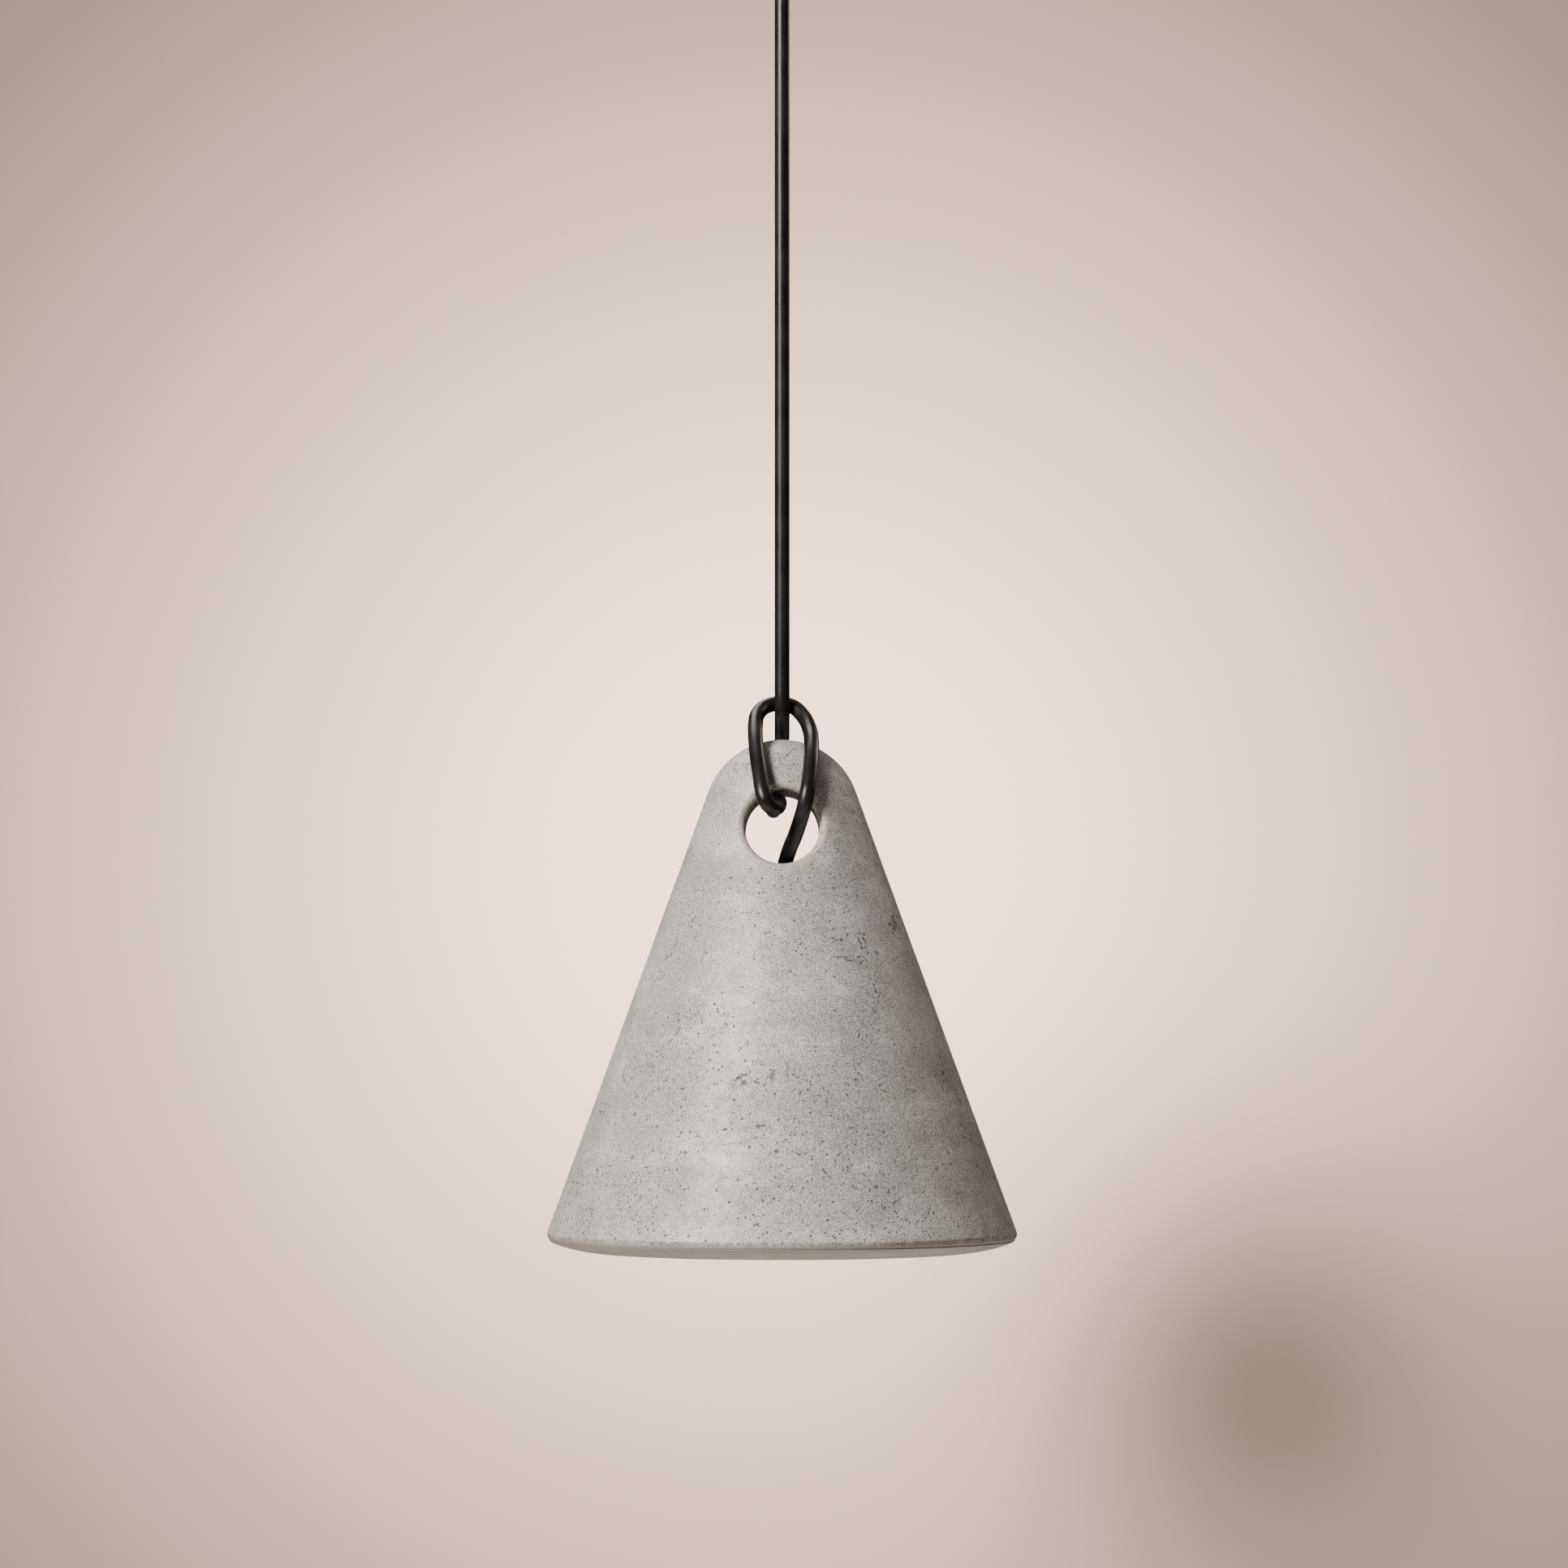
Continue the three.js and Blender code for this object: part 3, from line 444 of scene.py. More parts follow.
def smooth_route(points, spacing):
    """Evenly spaced points on a centripetal curve through the route."""
    way = [Vector(p) for p in points]
    way = [2 * way[0] - way[1]] + way + [2 * way[-1] - way[-2]]
    fine = []
    for p0, p1, p2, p3 in zip(way, way[1:], way[2:], way[3:]):
        t1 = max((p1 - p0).length ** 0.5, 1e-4)
        t2 = t1 + max((p2 - p1).length ** 0.5, 1e-4)
        t3 = t2 + max((p3 - p2).length ** 0.5, 1e-4)
        count = max(4, int((p2 - p1).length / spacing * 6))
        for k in range(count):
            t = t1 + (t2 - t1) * k / count
            a1 = p0 * (t1 - t) / t1 + p1 * t / t1
            a2 = p1 * (t2 - t) / (t2 - t1) + p2 * (t - t1) / (t2 - t1)
            a3 = p2 * (t3 - t) / (t3 - t2) + p3 * (t - t2) / (t3 - t2)
            b1 = a1 * (t2 - t) / t2 + a2 * t / t2
            b2 = a2 * (t3 - t) / (t3 - t1) + a3 * (t - t1) / (t3 - t1)
            fine.append(b1 * (t2 - t) / (t2 - t1) + b2 * (t - t1) / (t2 - t1))
    fine.append(way[-2].copy())
    lengths = [0.0]
    for a, b in zip(fine, fine[1:]):
        lengths.append(lengths[-1] + (b - a).length)
    count = max(2, round(lengths[-1] / spacing))
    even, i = [], 0
    for k in range(count + 1):
        goal = lengths[-1] * k / count
        while i < len(fine) - 2 and lengths[i + 1] < goal:
            i += 1
        span = max(lengths[i + 1] - lengths[i], 1e-9)
        even.append(fine[i].lerp(fine[i + 1], min(1, (goal - lengths[i]) / span)))
    return even


def hose(name, points, radius, sides=32):
    """A round tube along evenly spaced points, with its ends closed."""
    bm = bmesh.new()
    side = Vector((1, 0, 0))
    rings = []
    last = len(points) - 1
    for i, p in enumerate(points):
        along = (points[min(i + 1, last)] - points[max(i - 1, 0)]).normalized()
        side = (side - along * side.dot(along)).normalized()
        other = along.cross(side)
        ring = []
        for k in range(sides):
            a = 2 * math.pi * k / sides
            ring.append(bm.verts.new(p + (side * math.cos(a) + other * math.sin(a)) * radius))
        rings.append(ring)
    return ring_solid(name, bm, rings, 60)


def dressed(piece, finish, slot, *nodes):
    """Gives a piece its finish and hides the CAD nodes that it stands for."""
    piece.data.materials.clear()
    piece.data.materials.append(finish_of(finish))
    if nodes:
        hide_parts(*nodes)
    return piece


def settle(piece, finish, body, slot, *nodes):
    """Dresses a piece that rides on one body."""
    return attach(dressed(piece, finish, slot, *nodes), body)


# ---------------------------------------------------------------- finishes


SHADER_INPUTS = {
    "color": "Base Color",
    "rough": "Roughness",
    "metal": "Metallic",
    "normal": "Normal",
    "coat": "Coat Weight",
    "coat_rough": "Coat Roughness",
    "specular": "Specular IOR Level",
    "sss": "Subsurface Weight",
    "sss_scale": "Subsurface Scale",
}


class Graph:
    """A small hand for building a shader graph."""

    def __init__(self, tree):
        self.tree = tree

    def node(self, kind, **settings):
        made = self.tree.nodes.new(kind)
        for key, value in settings.items():
            setattr(made, key, value)
        return made

    def link(self, source, target):
        self.tree.links.new(source, target)

    def feed(self, target, value):
        if isinstance(value, bpy.types.NodeSocket):
            self.link(value, target)
        else:
            target.default_value = value

    def fed(self, kind, inputs, **settings):
        """A node with its named inputs fed."""
        made = self.node(kind, **settings)
        for socket, value in inputs.items():
            self.feed(made.inputs[socket], value)
        return made.outputs

    def math(self, operation, *values, clamp=False):
        made = self.node("ShaderNodeMath", operation=operation, use_clamp=clamp)
        for socket, value in zip(made.inputs, values):
            self.feed(socket, value)
        return made.outputs[0]

    def range(self, value, low, high, to_low=0.0, to_high=1.0, smooth=True):
        inputs = {"Value": value, "From Min": low, "From Max": high}
        inputs.update({"To Min": to_low, "To Max": to_high})
        kind = "SMOOTHSTEP" if smooth else "LINEAR"
        return self.fed("ShaderNodeMapRange", inputs, clamp=True, interpolation_type=kind)["Result"]


class Finish(Graph):
    """A material's graph, laid out from the part's own frame."""

    def __init__(self, name):
        self.material = bpy.data.materials.new(name)
        self.material.use_nodes = True
        super().__init__(self.material.node_tree)
        self.shader = self.tree.nodes["Principled BSDF"]
        self.place = self.node("ShaderNodeTexCoord").outputs["Object"]

    def noise(self, scale, detail=3.0, roughness=0.55, place=None, distortion=0.0):
        inputs = {"Scale": scale, "Detail": detail, "Roughness": roughness}
        inputs.update({"Distortion": distortion, "Vector": place or self.place})
        return self.fed("ShaderNodeTexNoise", inputs)["Fac"]

    def cells(self, scale):
        """Scattered cells: the distance to each one's middle and its own colour."""
        made = self.fed("ShaderNodeTexVoronoi", {"Scale": scale, "Vector": self.place})
        return made["Distance"], made["Color"]

    def stretch(self, scale):
        return self.fed("ShaderNodeMapping", {"Scale": scale, "Vector": self.place})["Vector"]

    def span(self, a, b):
        """The long side of a right triangle."""
        squares = [self.math("MULTIPLY", side, side) for side in (a, b)]
        return self.math("SQRT", self.math("ADD", *squares))

    def feed_colour(self, target, value):
        self.feed(target, value if isinstance(value, bpy.types.NodeSocket) else (*value[:3], 1))

    def blend(self, amount, a, b):
        made = self.node("ShaderNodeMix", data_type="RGBA")
        self.feed(made.inputs["Factor"], amount)
        for socket, value in zip(made.inputs[6:8], (a, b)):  # the node's two colour inputs
            self.feed_colour(socket, value)
        return made.outputs[2]

    def channel(self, color, name="Red"):
        """One channel of a cell's colour: a number from 0 to 1 that differs from cell to cell."""
        return self.fed("ShaderNodeSeparateColor", {"Color": color})[name]

    def bump(self, height, distance, strength=1.0, below=None):
        inputs = {"Strength": strength, "Distance": distance, "Height": height}
        if below is not None:
            inputs["Normal"] = below
        return self.fed("ShaderNodeBump", inputs)["Normal"]

    def set(self, **values):
        for key, value in values.items():
            feed = self.feed_colour if key == "color" else self.feed
            feed(self.shader.inputs[SHADER_INPUTS[key]], value)
        return self.material


def scaled(rgb, factor):
    return tuple(min(1.0, c * factor) for c in rgb)


# cells to the metre, the share of cells that hold a hole where they are thickest, and its radius
PIN_HOLES = ((130, 0.10, 0.07), (290, 0.30, 0.17), (600, 0.75, 0.32))


def concrete_finish():
    """Sealed cast concrete: clouds, sand grain and pin holes, and smooth below the foot; the pits,
    the arris and the underside carry painted shade.
    """
    sizes = shade_sizes()
    f = Finish("cast concrete")
    # under is the underside's colour, painted darker as shade
    light, dark, under = colours().concrete, colours().concrete_dark, colours().trowelled
    x, y, z = f.fed("ShaderNodeSeparateXYZ", {"Vector": f.place})

    clouds = f.noise(15, 4, 0.6, distortion=0.5)
    bands = f.noise(1, 4, 0.6, f.stretch((11, 11, 52)))
    patches = f.noise(55, 4, 0.62)
    flecks = f.noise(260, 3, 0.65)
    sand = f.noise(1500, 3, 0.7)

    color = f.blend(f.range(clouds, 0.38, 0.64), light, dark)
    color = f.blend(f.range(bands, 0.47, 0.64, 0, 0.70), color, scaled(dark, 0.90))
    color = f.blend(f.range(bands, 0.47, 0.32, 0, 0.66), color, scaled(light, 1.28))
    color = f.blend(f.range(patches, 0.50, 0.70, 0, 0.80), color, scaled(dark, 0.78))
    color = f.blend(f.range(patches, 0.46, 0.28, 0, 0.70), color, scaled(light, 1.30))
    color = f.blend(f.range(flecks, 0.52, 0.72, 0, 0.42), color, scaled(dark, 0.72))
    color = f.blend(f.range(sand, 0.50, 0.60, 0, 0.85), color, scaled(dark, 0.40))
    color = f.blend(f.range(sand, 0.46, 0.36, 0, 0.70), color, scaled(light, 1.45))

    # pin holes: some cells hold a small round pit, more of them in drifts and near the foot
    foot = f.range(z, SHADE_LOW.z + 0.004, SHADE_LOW.z + 0.075, 0.13, 0)
    drift = f.math("ADD", f.noise(26, 3, 0.6), foot)
    pit = 0.0
    for scale, share, radius in PIN_HOLES:
        distance, tone = f.cells(scale)
        chance = f.range(drift, 0.40, 0.74, 0.12 * share, share, smooth=False)
        chosen = f.math("LESS_THAN", f.channel(tone), chance)
        size = f.math("MULTIPLY_ADD", f.channel(tone, "Green"), radius, 0.06)
        depth = f.math("SUBTRACT", 1.0, f.math("DIVIDE", distance, size), clamp=True)
        depth = f.math("MULTIPLY", f.range(depth, 0, 0.5), chosen)
        pit = f.math("MAXIMUM", pit, depth)

    # strings of burst bubbles, where a vein of the mix shows and the sand breaks it up
    vein = f.noise(17, 3, 0.5, f.stretch((1, 1, 1.7)), 1.2)
    vein = f.math("ABSOLUTE", f.math("SUBTRACT", vein, 0.5))
    crumb = f.noise(620, 2, 0.6)
    string = f.math("MULTIPLY", f.range(vein, 0.009, 0.002), f.range(crumb, 0.52, 0.60))
    string = f.math("MULTIPLY", string, f.range(f.noise(31, 2, 0.5), 0.48, 0.56))
    pit = f.math("MAXIMUM", pit, string)
    # the pin holes and burst bubbles are painted near black: painted shade inside the pits
    color = f.blend(f.math("MULTIPLY", pit, 0.85), color, (0.09, 0.086, 0.08))

    # warm bloom under the neck and round the eye
    eye_z = SHADE_HIGH.z - sizes.eye_depth
    up = f.math("SUBTRACT", z, eye_z)
    away = f.span(x, up)
    bloom = f.range(away, sizes.eye * 1.04, sizes.eye * 1.5, 1, 0)
    bloom = f.math("MULTIPLY", bloom, f.range(f.noise(110, 3), 0.42, 0.66, 0.0, 1.0))
    color = f.blend(f.math("MULTIPLY", bloom, 0.55), color, (0.62, 0.55, 0.42))

    # the trowelled underside: smooth, with faint streaks round the rim, and darker and browner than
    # the cast face as painted shade under the rim; not in the cavity
    streaks = f.noise(1, 4, 0.6, f.stretch((14, 14, 700)))
    shaded_smooth_face = f.blend(f.range(streaks, 0.35, 0.7), under, scaled(under, 1.25))
    shaded_smooth_face = f.blend(f.range(patches, 0.4, 0.7, 0, 0.35), shaded_smooth_face, scaled(under, 0.8))
    corner = SHADE_LOW.z + sizes.lip_drop + 0.4 * sizes.corner
    below = f.range(z, corner + 0.0007, corner - 0.0007, 0, 1)
    reach = f.span(x, y)
    outside = f.range(reach, sizes.lip_inner - 0.003, sizes.lip_inner - 0.001)
    below = f.math("MULTIPLY", below, outside)
    # painted shadow: a dark line along the arris, where the foot's edge shades the underside
    painted_arris_shadow = f.math("ABSOLUTE", f.math("SUBTRACT", z, corner + 0.0008))
    painted_arris_shadow = f.math("MULTIPLY", f.range(painted_arris_shadow, 0.0016, 0.0002), f.range(flecks, 0.35, 0.55, 0.25, 1))
    color = f.blend(below, color, shaded_smooth_face)
    color = f.blend(f.math("MULTIPLY", painted_arris_shadow, 0.5), color, scaled(under, 0.5))

    cast = f.math("MULTIPLY_ADD", below, -0.85, 1.0)
    relief = f.math("ADD", f.math("MULTIPLY", sand, -0.45), f.math("MULTIPLY", flecks, -0.6))
    relief = f.math("SUBTRACT", relief, f.math("MULTIPLY", pit, 2.2))
    normal = f.bump(f.math("MULTIPLY", relief, cast), 0.00030, 0.8)
    normal = f.bump(patches, 0.0005, 0.3, normal)
    sealed = f.range(patches, 0.3, 0.7, 0.36, 0.50)
    sealed = f.math("ADD", sealed, f.range(flecks, 0.4, 0.7, 0, 0.12))
    rough = f.math("ADD", sealed, f.math("MULTIPLY", pit, 0.4))
    return f.set(color=color, rough=rough, normal=normal, specular=0.6)


def sheath_finish():
    f = Finish("cord sheath")
    grain = f.noise(2600, 2, 0.6)
    wear = f.noise(60, 3, 0.5)
    rough = f.range(grain, 0.3, 0.7, 0.27, 0.40)
    rough = f.math("ADD", rough, f.range(wear, 0.3, 0.7, -0.03, 0.05))
    color = f.blend(f.range(wear, 0.35, 0.7), colours().sheath, scaled(colours().sheath, 1.7))
    return f.set(color=color, rough=rough, normal=f.bump(grain, 0.00006, 0.55), specular=0.42)


def paint_finish():
    """Fine powder coat."""
    f = Finish("cup paint")
    orange = f.noise(1300, 2, 0.5)
    fine = f.noise(5200, 1, 0.5)
    color = f.blend(f.range(fine, 0.4, 0.7), colours().paint, scaled(colours().paint, 1.9))
    normal = f.bump(orange, 0.00008, 0.5, f.bump(fine, 0.00003, 0.4))
    return f.set(color=color, rough=f.range(orange, 0.3, 0.7, 0.42, 0.58), normal=normal)


def nylon_finish():
    f = Finish("moulded nylon")
    spark = f.noise(3000, 2, 0.6)
    flow = f.noise(90, 3, 0.5)
    color = f.blend(f.range(flow, 0.35, 0.7), (0.017, 0.017, 0.018), (0.028, 0.028, 0.030))
    rough = f.range(spark, 0.3, 0.7, 0.4, 0.6)
    return f.set(color=color, rough=rough, normal=f.bump(spark, 0.00004, 0.5))


def metal_finish(name, tone, rough_low, rough_high, spot=0.0):
    """Plated or turned metal with fine turning lines and a little tarnish."""
    f = Finish(name)
    lines = f.noise(1, 3, 0.6, f.stretch((40, 40, 1500)))
    tarnish = f.noise(140, 4, 0.6)
    color = f.blend(f.range(tarnish, 0.4, 0.75, 0, 0.5), tone, scaled(tone, 0.72 - spot))
    turned_rough = f.range(lines, 0.3, 0.7, rough_low, rough_high)
    rough = f.math("ADD", turned_rough, f.range(tarnish, 0.4, 0.8, 0, 0.12))
    return f.set(color=color, rough=rough, metal=1.0, normal=f.bump(lines, 0.00003, 0.5))


def plastic_finish(name, tone, rough=0.38, sss=0.0):
    f = Finish(name)
    cloud = f.noise(120, 3, 0.5)
    skin = f.noise(2400, 2, 0.5)
    color = f.blend(f.range(cloud, 0.35, 0.7), tone, scaled(tone, 0.93))
    f.set(color=color, rough=f.range(skin, 0.3, 0.7, rough - 0.05, rough + 0.07))
    f.set(normal=f.bump(skin, 0.00003, 0.4))
    if sss:
        f.set(sss=sss, sss_scale=0.004)
    return f.material


def glaze_finish():
    f = Finish("holder ceramic")
    crawl = f.noise(160, 3, 0.55)
    iron = f.noise(900, 2, 0.7)
    color = f.blend(f.range(crawl, 0.35, 0.7), (0.86, 0.84, 0.78), (0.78, 0.75, 0.68))
    color = f.blend(f.range(iron, 0.7, 0.8, 0, 0.5), color, (0.42, 0.33, 0.24))
    f.set(coat=0.4, coat_rough=0.08, normal=f.bump(crawl, 0.00008, 0.4))
    return f.set(color=color, rough=f.range(crawl, 0.3, 0.7, 0.12, 0.22))


def earth_core_finish():
    """Green insulation with a yellow stripe that winds round the core."""
    f = Finish("earth core")
    inputs = {"Scale": 90, "Vector": f.place}
    wave = f.fed("ShaderNodeTexWave", inputs, wave_type="BANDS", bands_direction="DIAGONAL")
    stripe = f.range(wave["Fac"], 0.45, 0.55)
    skin = f.noise(2400, 2, 0.5)
    color = f.blend(stripe, (0.10, 0.34, 0.05), (0.78, 0.66, 0.05))
    rough = f.range(skin, 0.3, 0.7, 0.35, 0.5)
    return f.set(color=color, rough=rough, normal=f.bump(skin, 0.00003, 0.4))


# finish: material, tone, roughness from and to, darker spots
METALS = {
    "zinc": ("zinc plate", (0.62, 0.63, 0.66), 0.26, 0.40),
    "steel_thread": ("threaded steel", (0.56, 0.57, 0.59), 0.3, 0.45),
    "brass": ("brass", (0.75, 0.55, 0.24), 0.22, 0.36, 0.1),
    "nickel": ("nickelled cap", (0.74, 0.73, 0.70), 0.14, 0.26),
    "aluminium": ("board aluminium", (0.80, 0.81, 0.82), 0.3, 0.42),
}
# finish: material, tone, roughness, how far light goes into it
PLASTICS = {
    "block": ("terminal block plastic", (0.83, 0.82, 0.77), 0.42, 0.15),
    "bulb_body": ("bulb body plastic", (0.86, 0.86, 0.84), 0.34),
    "opal": ("opal globe", (0.90, 0.895, 0.87), 0.24, 0.6),
    "brown": ("brown core", (0.13, 0.045, 0.018)),
    "blue": ("blue core", (0.02, 0.10, 0.38)),
    "phosphor": ("phosphor", (0.86, 0.66, 0.12), 0.5),
}
OTHERS = {
    "concrete": concrete_finish,
    "sheath": sheath_finish,
    "paint": paint_finish,
    "nylon": nylon_finish,
    "ceramic": glaze_finish,
    "earth": earth_core_finish,
}
MADE = {}


def finish_of(name):
    """Each finish is made once, when a piece first asks for it."""
    if name not in MADE:
        if name in METALS:
            MADE[name] = metal_finish(*METALS[name])
        elif name in PLASTICS:
            MADE[name] = plastic_finish(*PLASTICS[name])
        else:
            MADE[name] = OTHERS[name]()
    return MADE[name]


# ---------------------------------------------------------------- cord


# In millimetres from the top of the dome: down the drop, over the dome and down its back,
# under the neck through the eye, up the front on the left, round behind the drop, down the
# front on the right, into the eye and down through its floor.
HITCH_START = 36
HITCH_ROUTE = [
    (0, 0, HITCH_START), (0, 0, 24), (0, 0.3, 15.4), (0, 2.6, 9.6),
    (0, 6.8, 6.2), (0, 12, 3.8), (-0.1, 18, 0.5), (-0.5, 24.6, -5.4),
    (-1.2, 30.2, -11), (-2, 34.3, -15.8), (-2.6, 35.9, -19.2), (-3, 36, -22.8),
    (-3.4, 34.6, -26.2), (-3.7, 31.7, -28.3), (-3.8, 27.8, -29), (-3.6, 23, -28.6),
    (-3.1, 14, -27.6), (-2.4, 0, -27), (-1.8, -14, -27.1), (-1.3, -23, -27.7),
    (-1.2, -29, -28.9), (-1.6, -33, -30.3), (-2.5, -36.4, -31), (-3.8, -38.9, -31.2),
    (-5.4, -40.6, -30.4), (-6.9, -41.2, -28.4), (-8, -40.5, -25.5), (-8.7, -38.6, -21.8),
    (-9.5, -34.4, -16), (-10.5, -27.8, -9.2), (-11.2, -19.4, -1.6), (-11.4, -10, 5.2),
    (-10.6, -2, 10.6), (-7.2, 4.6, 14.6), (-1.4, 7.4, 16.2), (4.8, 6, 14.6),
    (9.6, 0.8, 9.4), (11.9, -7, 3.4), (12.5, -15.6, -1.8), (12.4, -24.1, -8.2),
    (11.6, -31.2, -17), (10.4, -35.6, -25), (9.2, -35, -31), (7.6, -29.4, -36.2),
    (5.6, -20.6, -41.8), (3.2, -10.6, -47.2), (1.4, -3.2, -52.8), (0.3, -0.4, -58.4),
    (0, 0, -64), (0, 0, -74),
]
CORD_STEP = 1.4  # between the rings of the cord's mesh


def pivot(joint):
    """Where a hinge sits, in millimetres from the ceiling."""
    for entry in frame["record"]["behaviour"]["joints"]:
        if entry["name"] == joint:
            return entry["pos_m"][2] / MM
    raise RuntimeError(f"no joint {joint}")


def straight(low, high, spacing=CORD_STEP):
    count = max(2, round(abs(high - low) / spacing))
    return [Vector((0, 0, high + (low - high) * k / count)) for k in range(count + 1)]


def make_pendant_cord():
    """The straight drop, the hitch and the end that goes down to the lampholder, in one length."""
    twist = pivot("cord_twist")
    down = -DROP / MM
    hitch = smooth_route([(x, y, z + down) for x, y, z in HITCH_ROUTE], CORD_STEP)
    way = straight(hitch[0].z, twist)[:-1] + hitch
    piece = hose("pendant_cord", way, cord_sizes().diameter / MM / 2)
    settle(piece, "sheath", "shade", "black_cord", "cord_drop", "cord_hitch")


def make_upper_cord():
    """The two lengths at the ceiling end, where the cord bends as the lamp swings."""
    radius = cord_sizes().diameter / MM / 2
    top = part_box("cord_in_grip")[1].z / MM
    first, second = pivot("swing_sideways"), pivot("swing_forwards")
    seam = (first + second) / 2
    foot = pivot("cord_twist")
    runs = (
        ("cord_in_cup", top, seam, "cup", "cord_upper", first, "cord_in_grip", "cord_bend"),
        ("cord_below_cup", seam, foot, "cord_upper", "cord_lower", second, "cord_link"),
    )
    for name, high, low, above, below, axis, *nodes in runs:
        way = straight(low, high)
        piece = dressed(hose(name, way, radius), "sheath", "black_cord", *nodes)
        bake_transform(piece)


# ---------------------------------------------------------------- shade


class ShadeShape:
    """The shade's outline in millimetres, with heights from the top of its dome."""

    def __init__(self):
        s = shade_sizes()
        self.dome = s.dome / MM
        self.corner = s.corner / MM
        self.lip_inner = s.lip_inner / MM
        self.lip_drop = s.lip_drop / MM
        self.ease = s.cavity_ease / MM
        self.eye = s.eye / MM
        self.eye_z = -s.eye_depth / MM
        self.eye_ease = s.eye_ease / MM
        self.angle = s.half_angle
        self.slope = math.tan(s.half_angle)
        self.apex = self.dome / math.sin(self.angle) - self.dome
        self.tangent = -self.dome * (1 - math.sin(self.angle))
        self.outer = round(max(SHADE_HIGH.x, -SHADE_LOW.x) / MM)
        self.foot_z = self.apex - self.outer / self.slope
        self.corner_z = self.foot_z - self.corner
        self.cavity = self.eye_z - self.eye - s.floor / MM
        self.cavity_r = (self.apex - self.cavity) * self.slope - s.wall / MM / math.cos(self.angle)

    def radius(self, z):
        if z > self.tangent:
            return math.sqrt(max(self.dome**2 - (z + self.dome) ** 2, 0))
        return (self.apex - z) * self.slope

    def depth(self, away, angle):
        """How far out the casting's face is along Y, seen from the eye's axis."""
        z = self.eye_z + away * math.sin(angle)
        return math.sqrt(self.radius(z) ** 2 - (away * math.cos(angle)) ** 2)

    def outline(self):
        """From the cavity's ceiling, down its wall, round the lip and up the outside."""
        flat = self.cavity_r - self.ease
        points = [(flat * k / 5, self.cavity) for k in range(6)]
        points += arc(flat, self.cavity - self.ease, self.ease, math.pi / 2, 0.28, 12)[1:]
        top_r, top_z = points[-1]
        low_r, low_z = self.lip_inner - 2, self.corner_z + 3
        for k in range(1, 61):
            points.append((top_r + (low_r - top_r) * k / 60, top_z + (low_z - top_z) * k / 60))
        end_r = self.outer - 0.25 * self.corner
        first = self.lip(math.pi / 2 * 0.93, end_r)
        a, b = Vector((low_r, low_z)), Vector((self.lip_inner - 1.9, self.corner_z - 3.6))
        c = Vector(first)
        for k in range(1, 10):
            t = k / 10
            points.append(tuple(a.lerp(b, t).lerp(b.lerp(c, t), t)))
        for k in range(28, 1, -1):
            points.append(self.lip(math.pi / 2 * k / 30, end_r))
        low = self.foot_z - 0.2 * self.corner
        points += arc(self.outer - self.corner, low, self.corner, -0.95, 0.25, 10)
        low_r, low_z = points[-1]
        top_r = self.radius(self.tangent)
        for k in range(1, 116):
            t = k / 116
            points.append((low_r + (top_r - low_r) * t, low_z + (self.tangent - low_z) * t))
        points += arc(0, -self.dome, self.dome, self.angle, math.pi / 2, 41)[:-1]
        return points + [(0, 0)]

    def lip(self, t, end_r):
        power = 2 / 1.4
        across, down = max(math.cos(t), 0) ** power, math.sin(t) ** power
        inner = self.lip_inner
        return (inner + (end_r - inner) * across, self.corner_z - self.lip_drop * down)

    def eye_cutter(self, around=160, mouth=10):
        """The eye's bore, whose two mouths flare smoothly into the casting's face."""
        ease, step = self.eye_ease, 0.4
        centre = self.eye + ease
        spokes = []
        for i in range(around):
            angle = 2 * math.pi * i / around
            slope = self.depth(centre + step, angle) - self.depth(centre - step, angle)
            slope /= 2 * step
            mouth_y = self.depth(centre, angle) - ease * math.hypot(1, slope)
            turn = math.pi / 2 - math.atan(slope)
            line = []
            for a in arc_steps(0, turn, mouth):
                line.append((centre - ease * math.cos(a), mouth_y + ease * math.sin(a)))
            lean = math.atan(slope) + 0.05
            r, y = line[-1]
            line.append((r + 4 * math.cos(lean), y + 4 * math.sin(lean)))
            line.append((line[-1][0], self.outer * 0.7))
            spokes.append((angle, [(r, -y) for r, y in reversed(line)] + line))
        bm = bmesh.new()
        rings = []
        for k in range(len(spokes[0][1])):
            ring = []
            for angle, line in spokes:
                r, y = line[k]
                z = self.eye_z + r * math.sin(angle)
                ring.append(bm.verts.new((r * math.cos(angle), y, z)))
            rings.append(ring)
        return ring_solid("eye_cutter", bm, rings)


def make_shade():
    shape = ShadeShape()
    piece = finish_mesh("shade_casting", turned(shape.outline(), 224))
    bush_low, bush_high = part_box("eye_bush")
    down = DROP / MM
    seat_r = (bush_high.x - bush_low.x) / 2 / MM + 0.3
    seat_z = bush_high.z / MM + down - 2.1
    seat = rod("seat", seat_r, seat_z, shape.eye_z, steps=96)
    passage = rod("passage", seat_r - 2.6, shape.cavity - 5, shape.eye_z, steps=96)
    cut(piece, shape.eye_cutter(), seat, passage)
    moved(piece, at(0, 0, -DROP))
    shade_smooth(piece, 38)
    settle(piece, "concrete", "shade", "concrete", "concrete_shade")
    modifier = piece.modifiers.new("normals", "WEIGHTED_NORMAL")
    modifier.keep_sharp = True
    modifier.weight = 100


# ---------------------------------------------------------------- passage to the lampholder


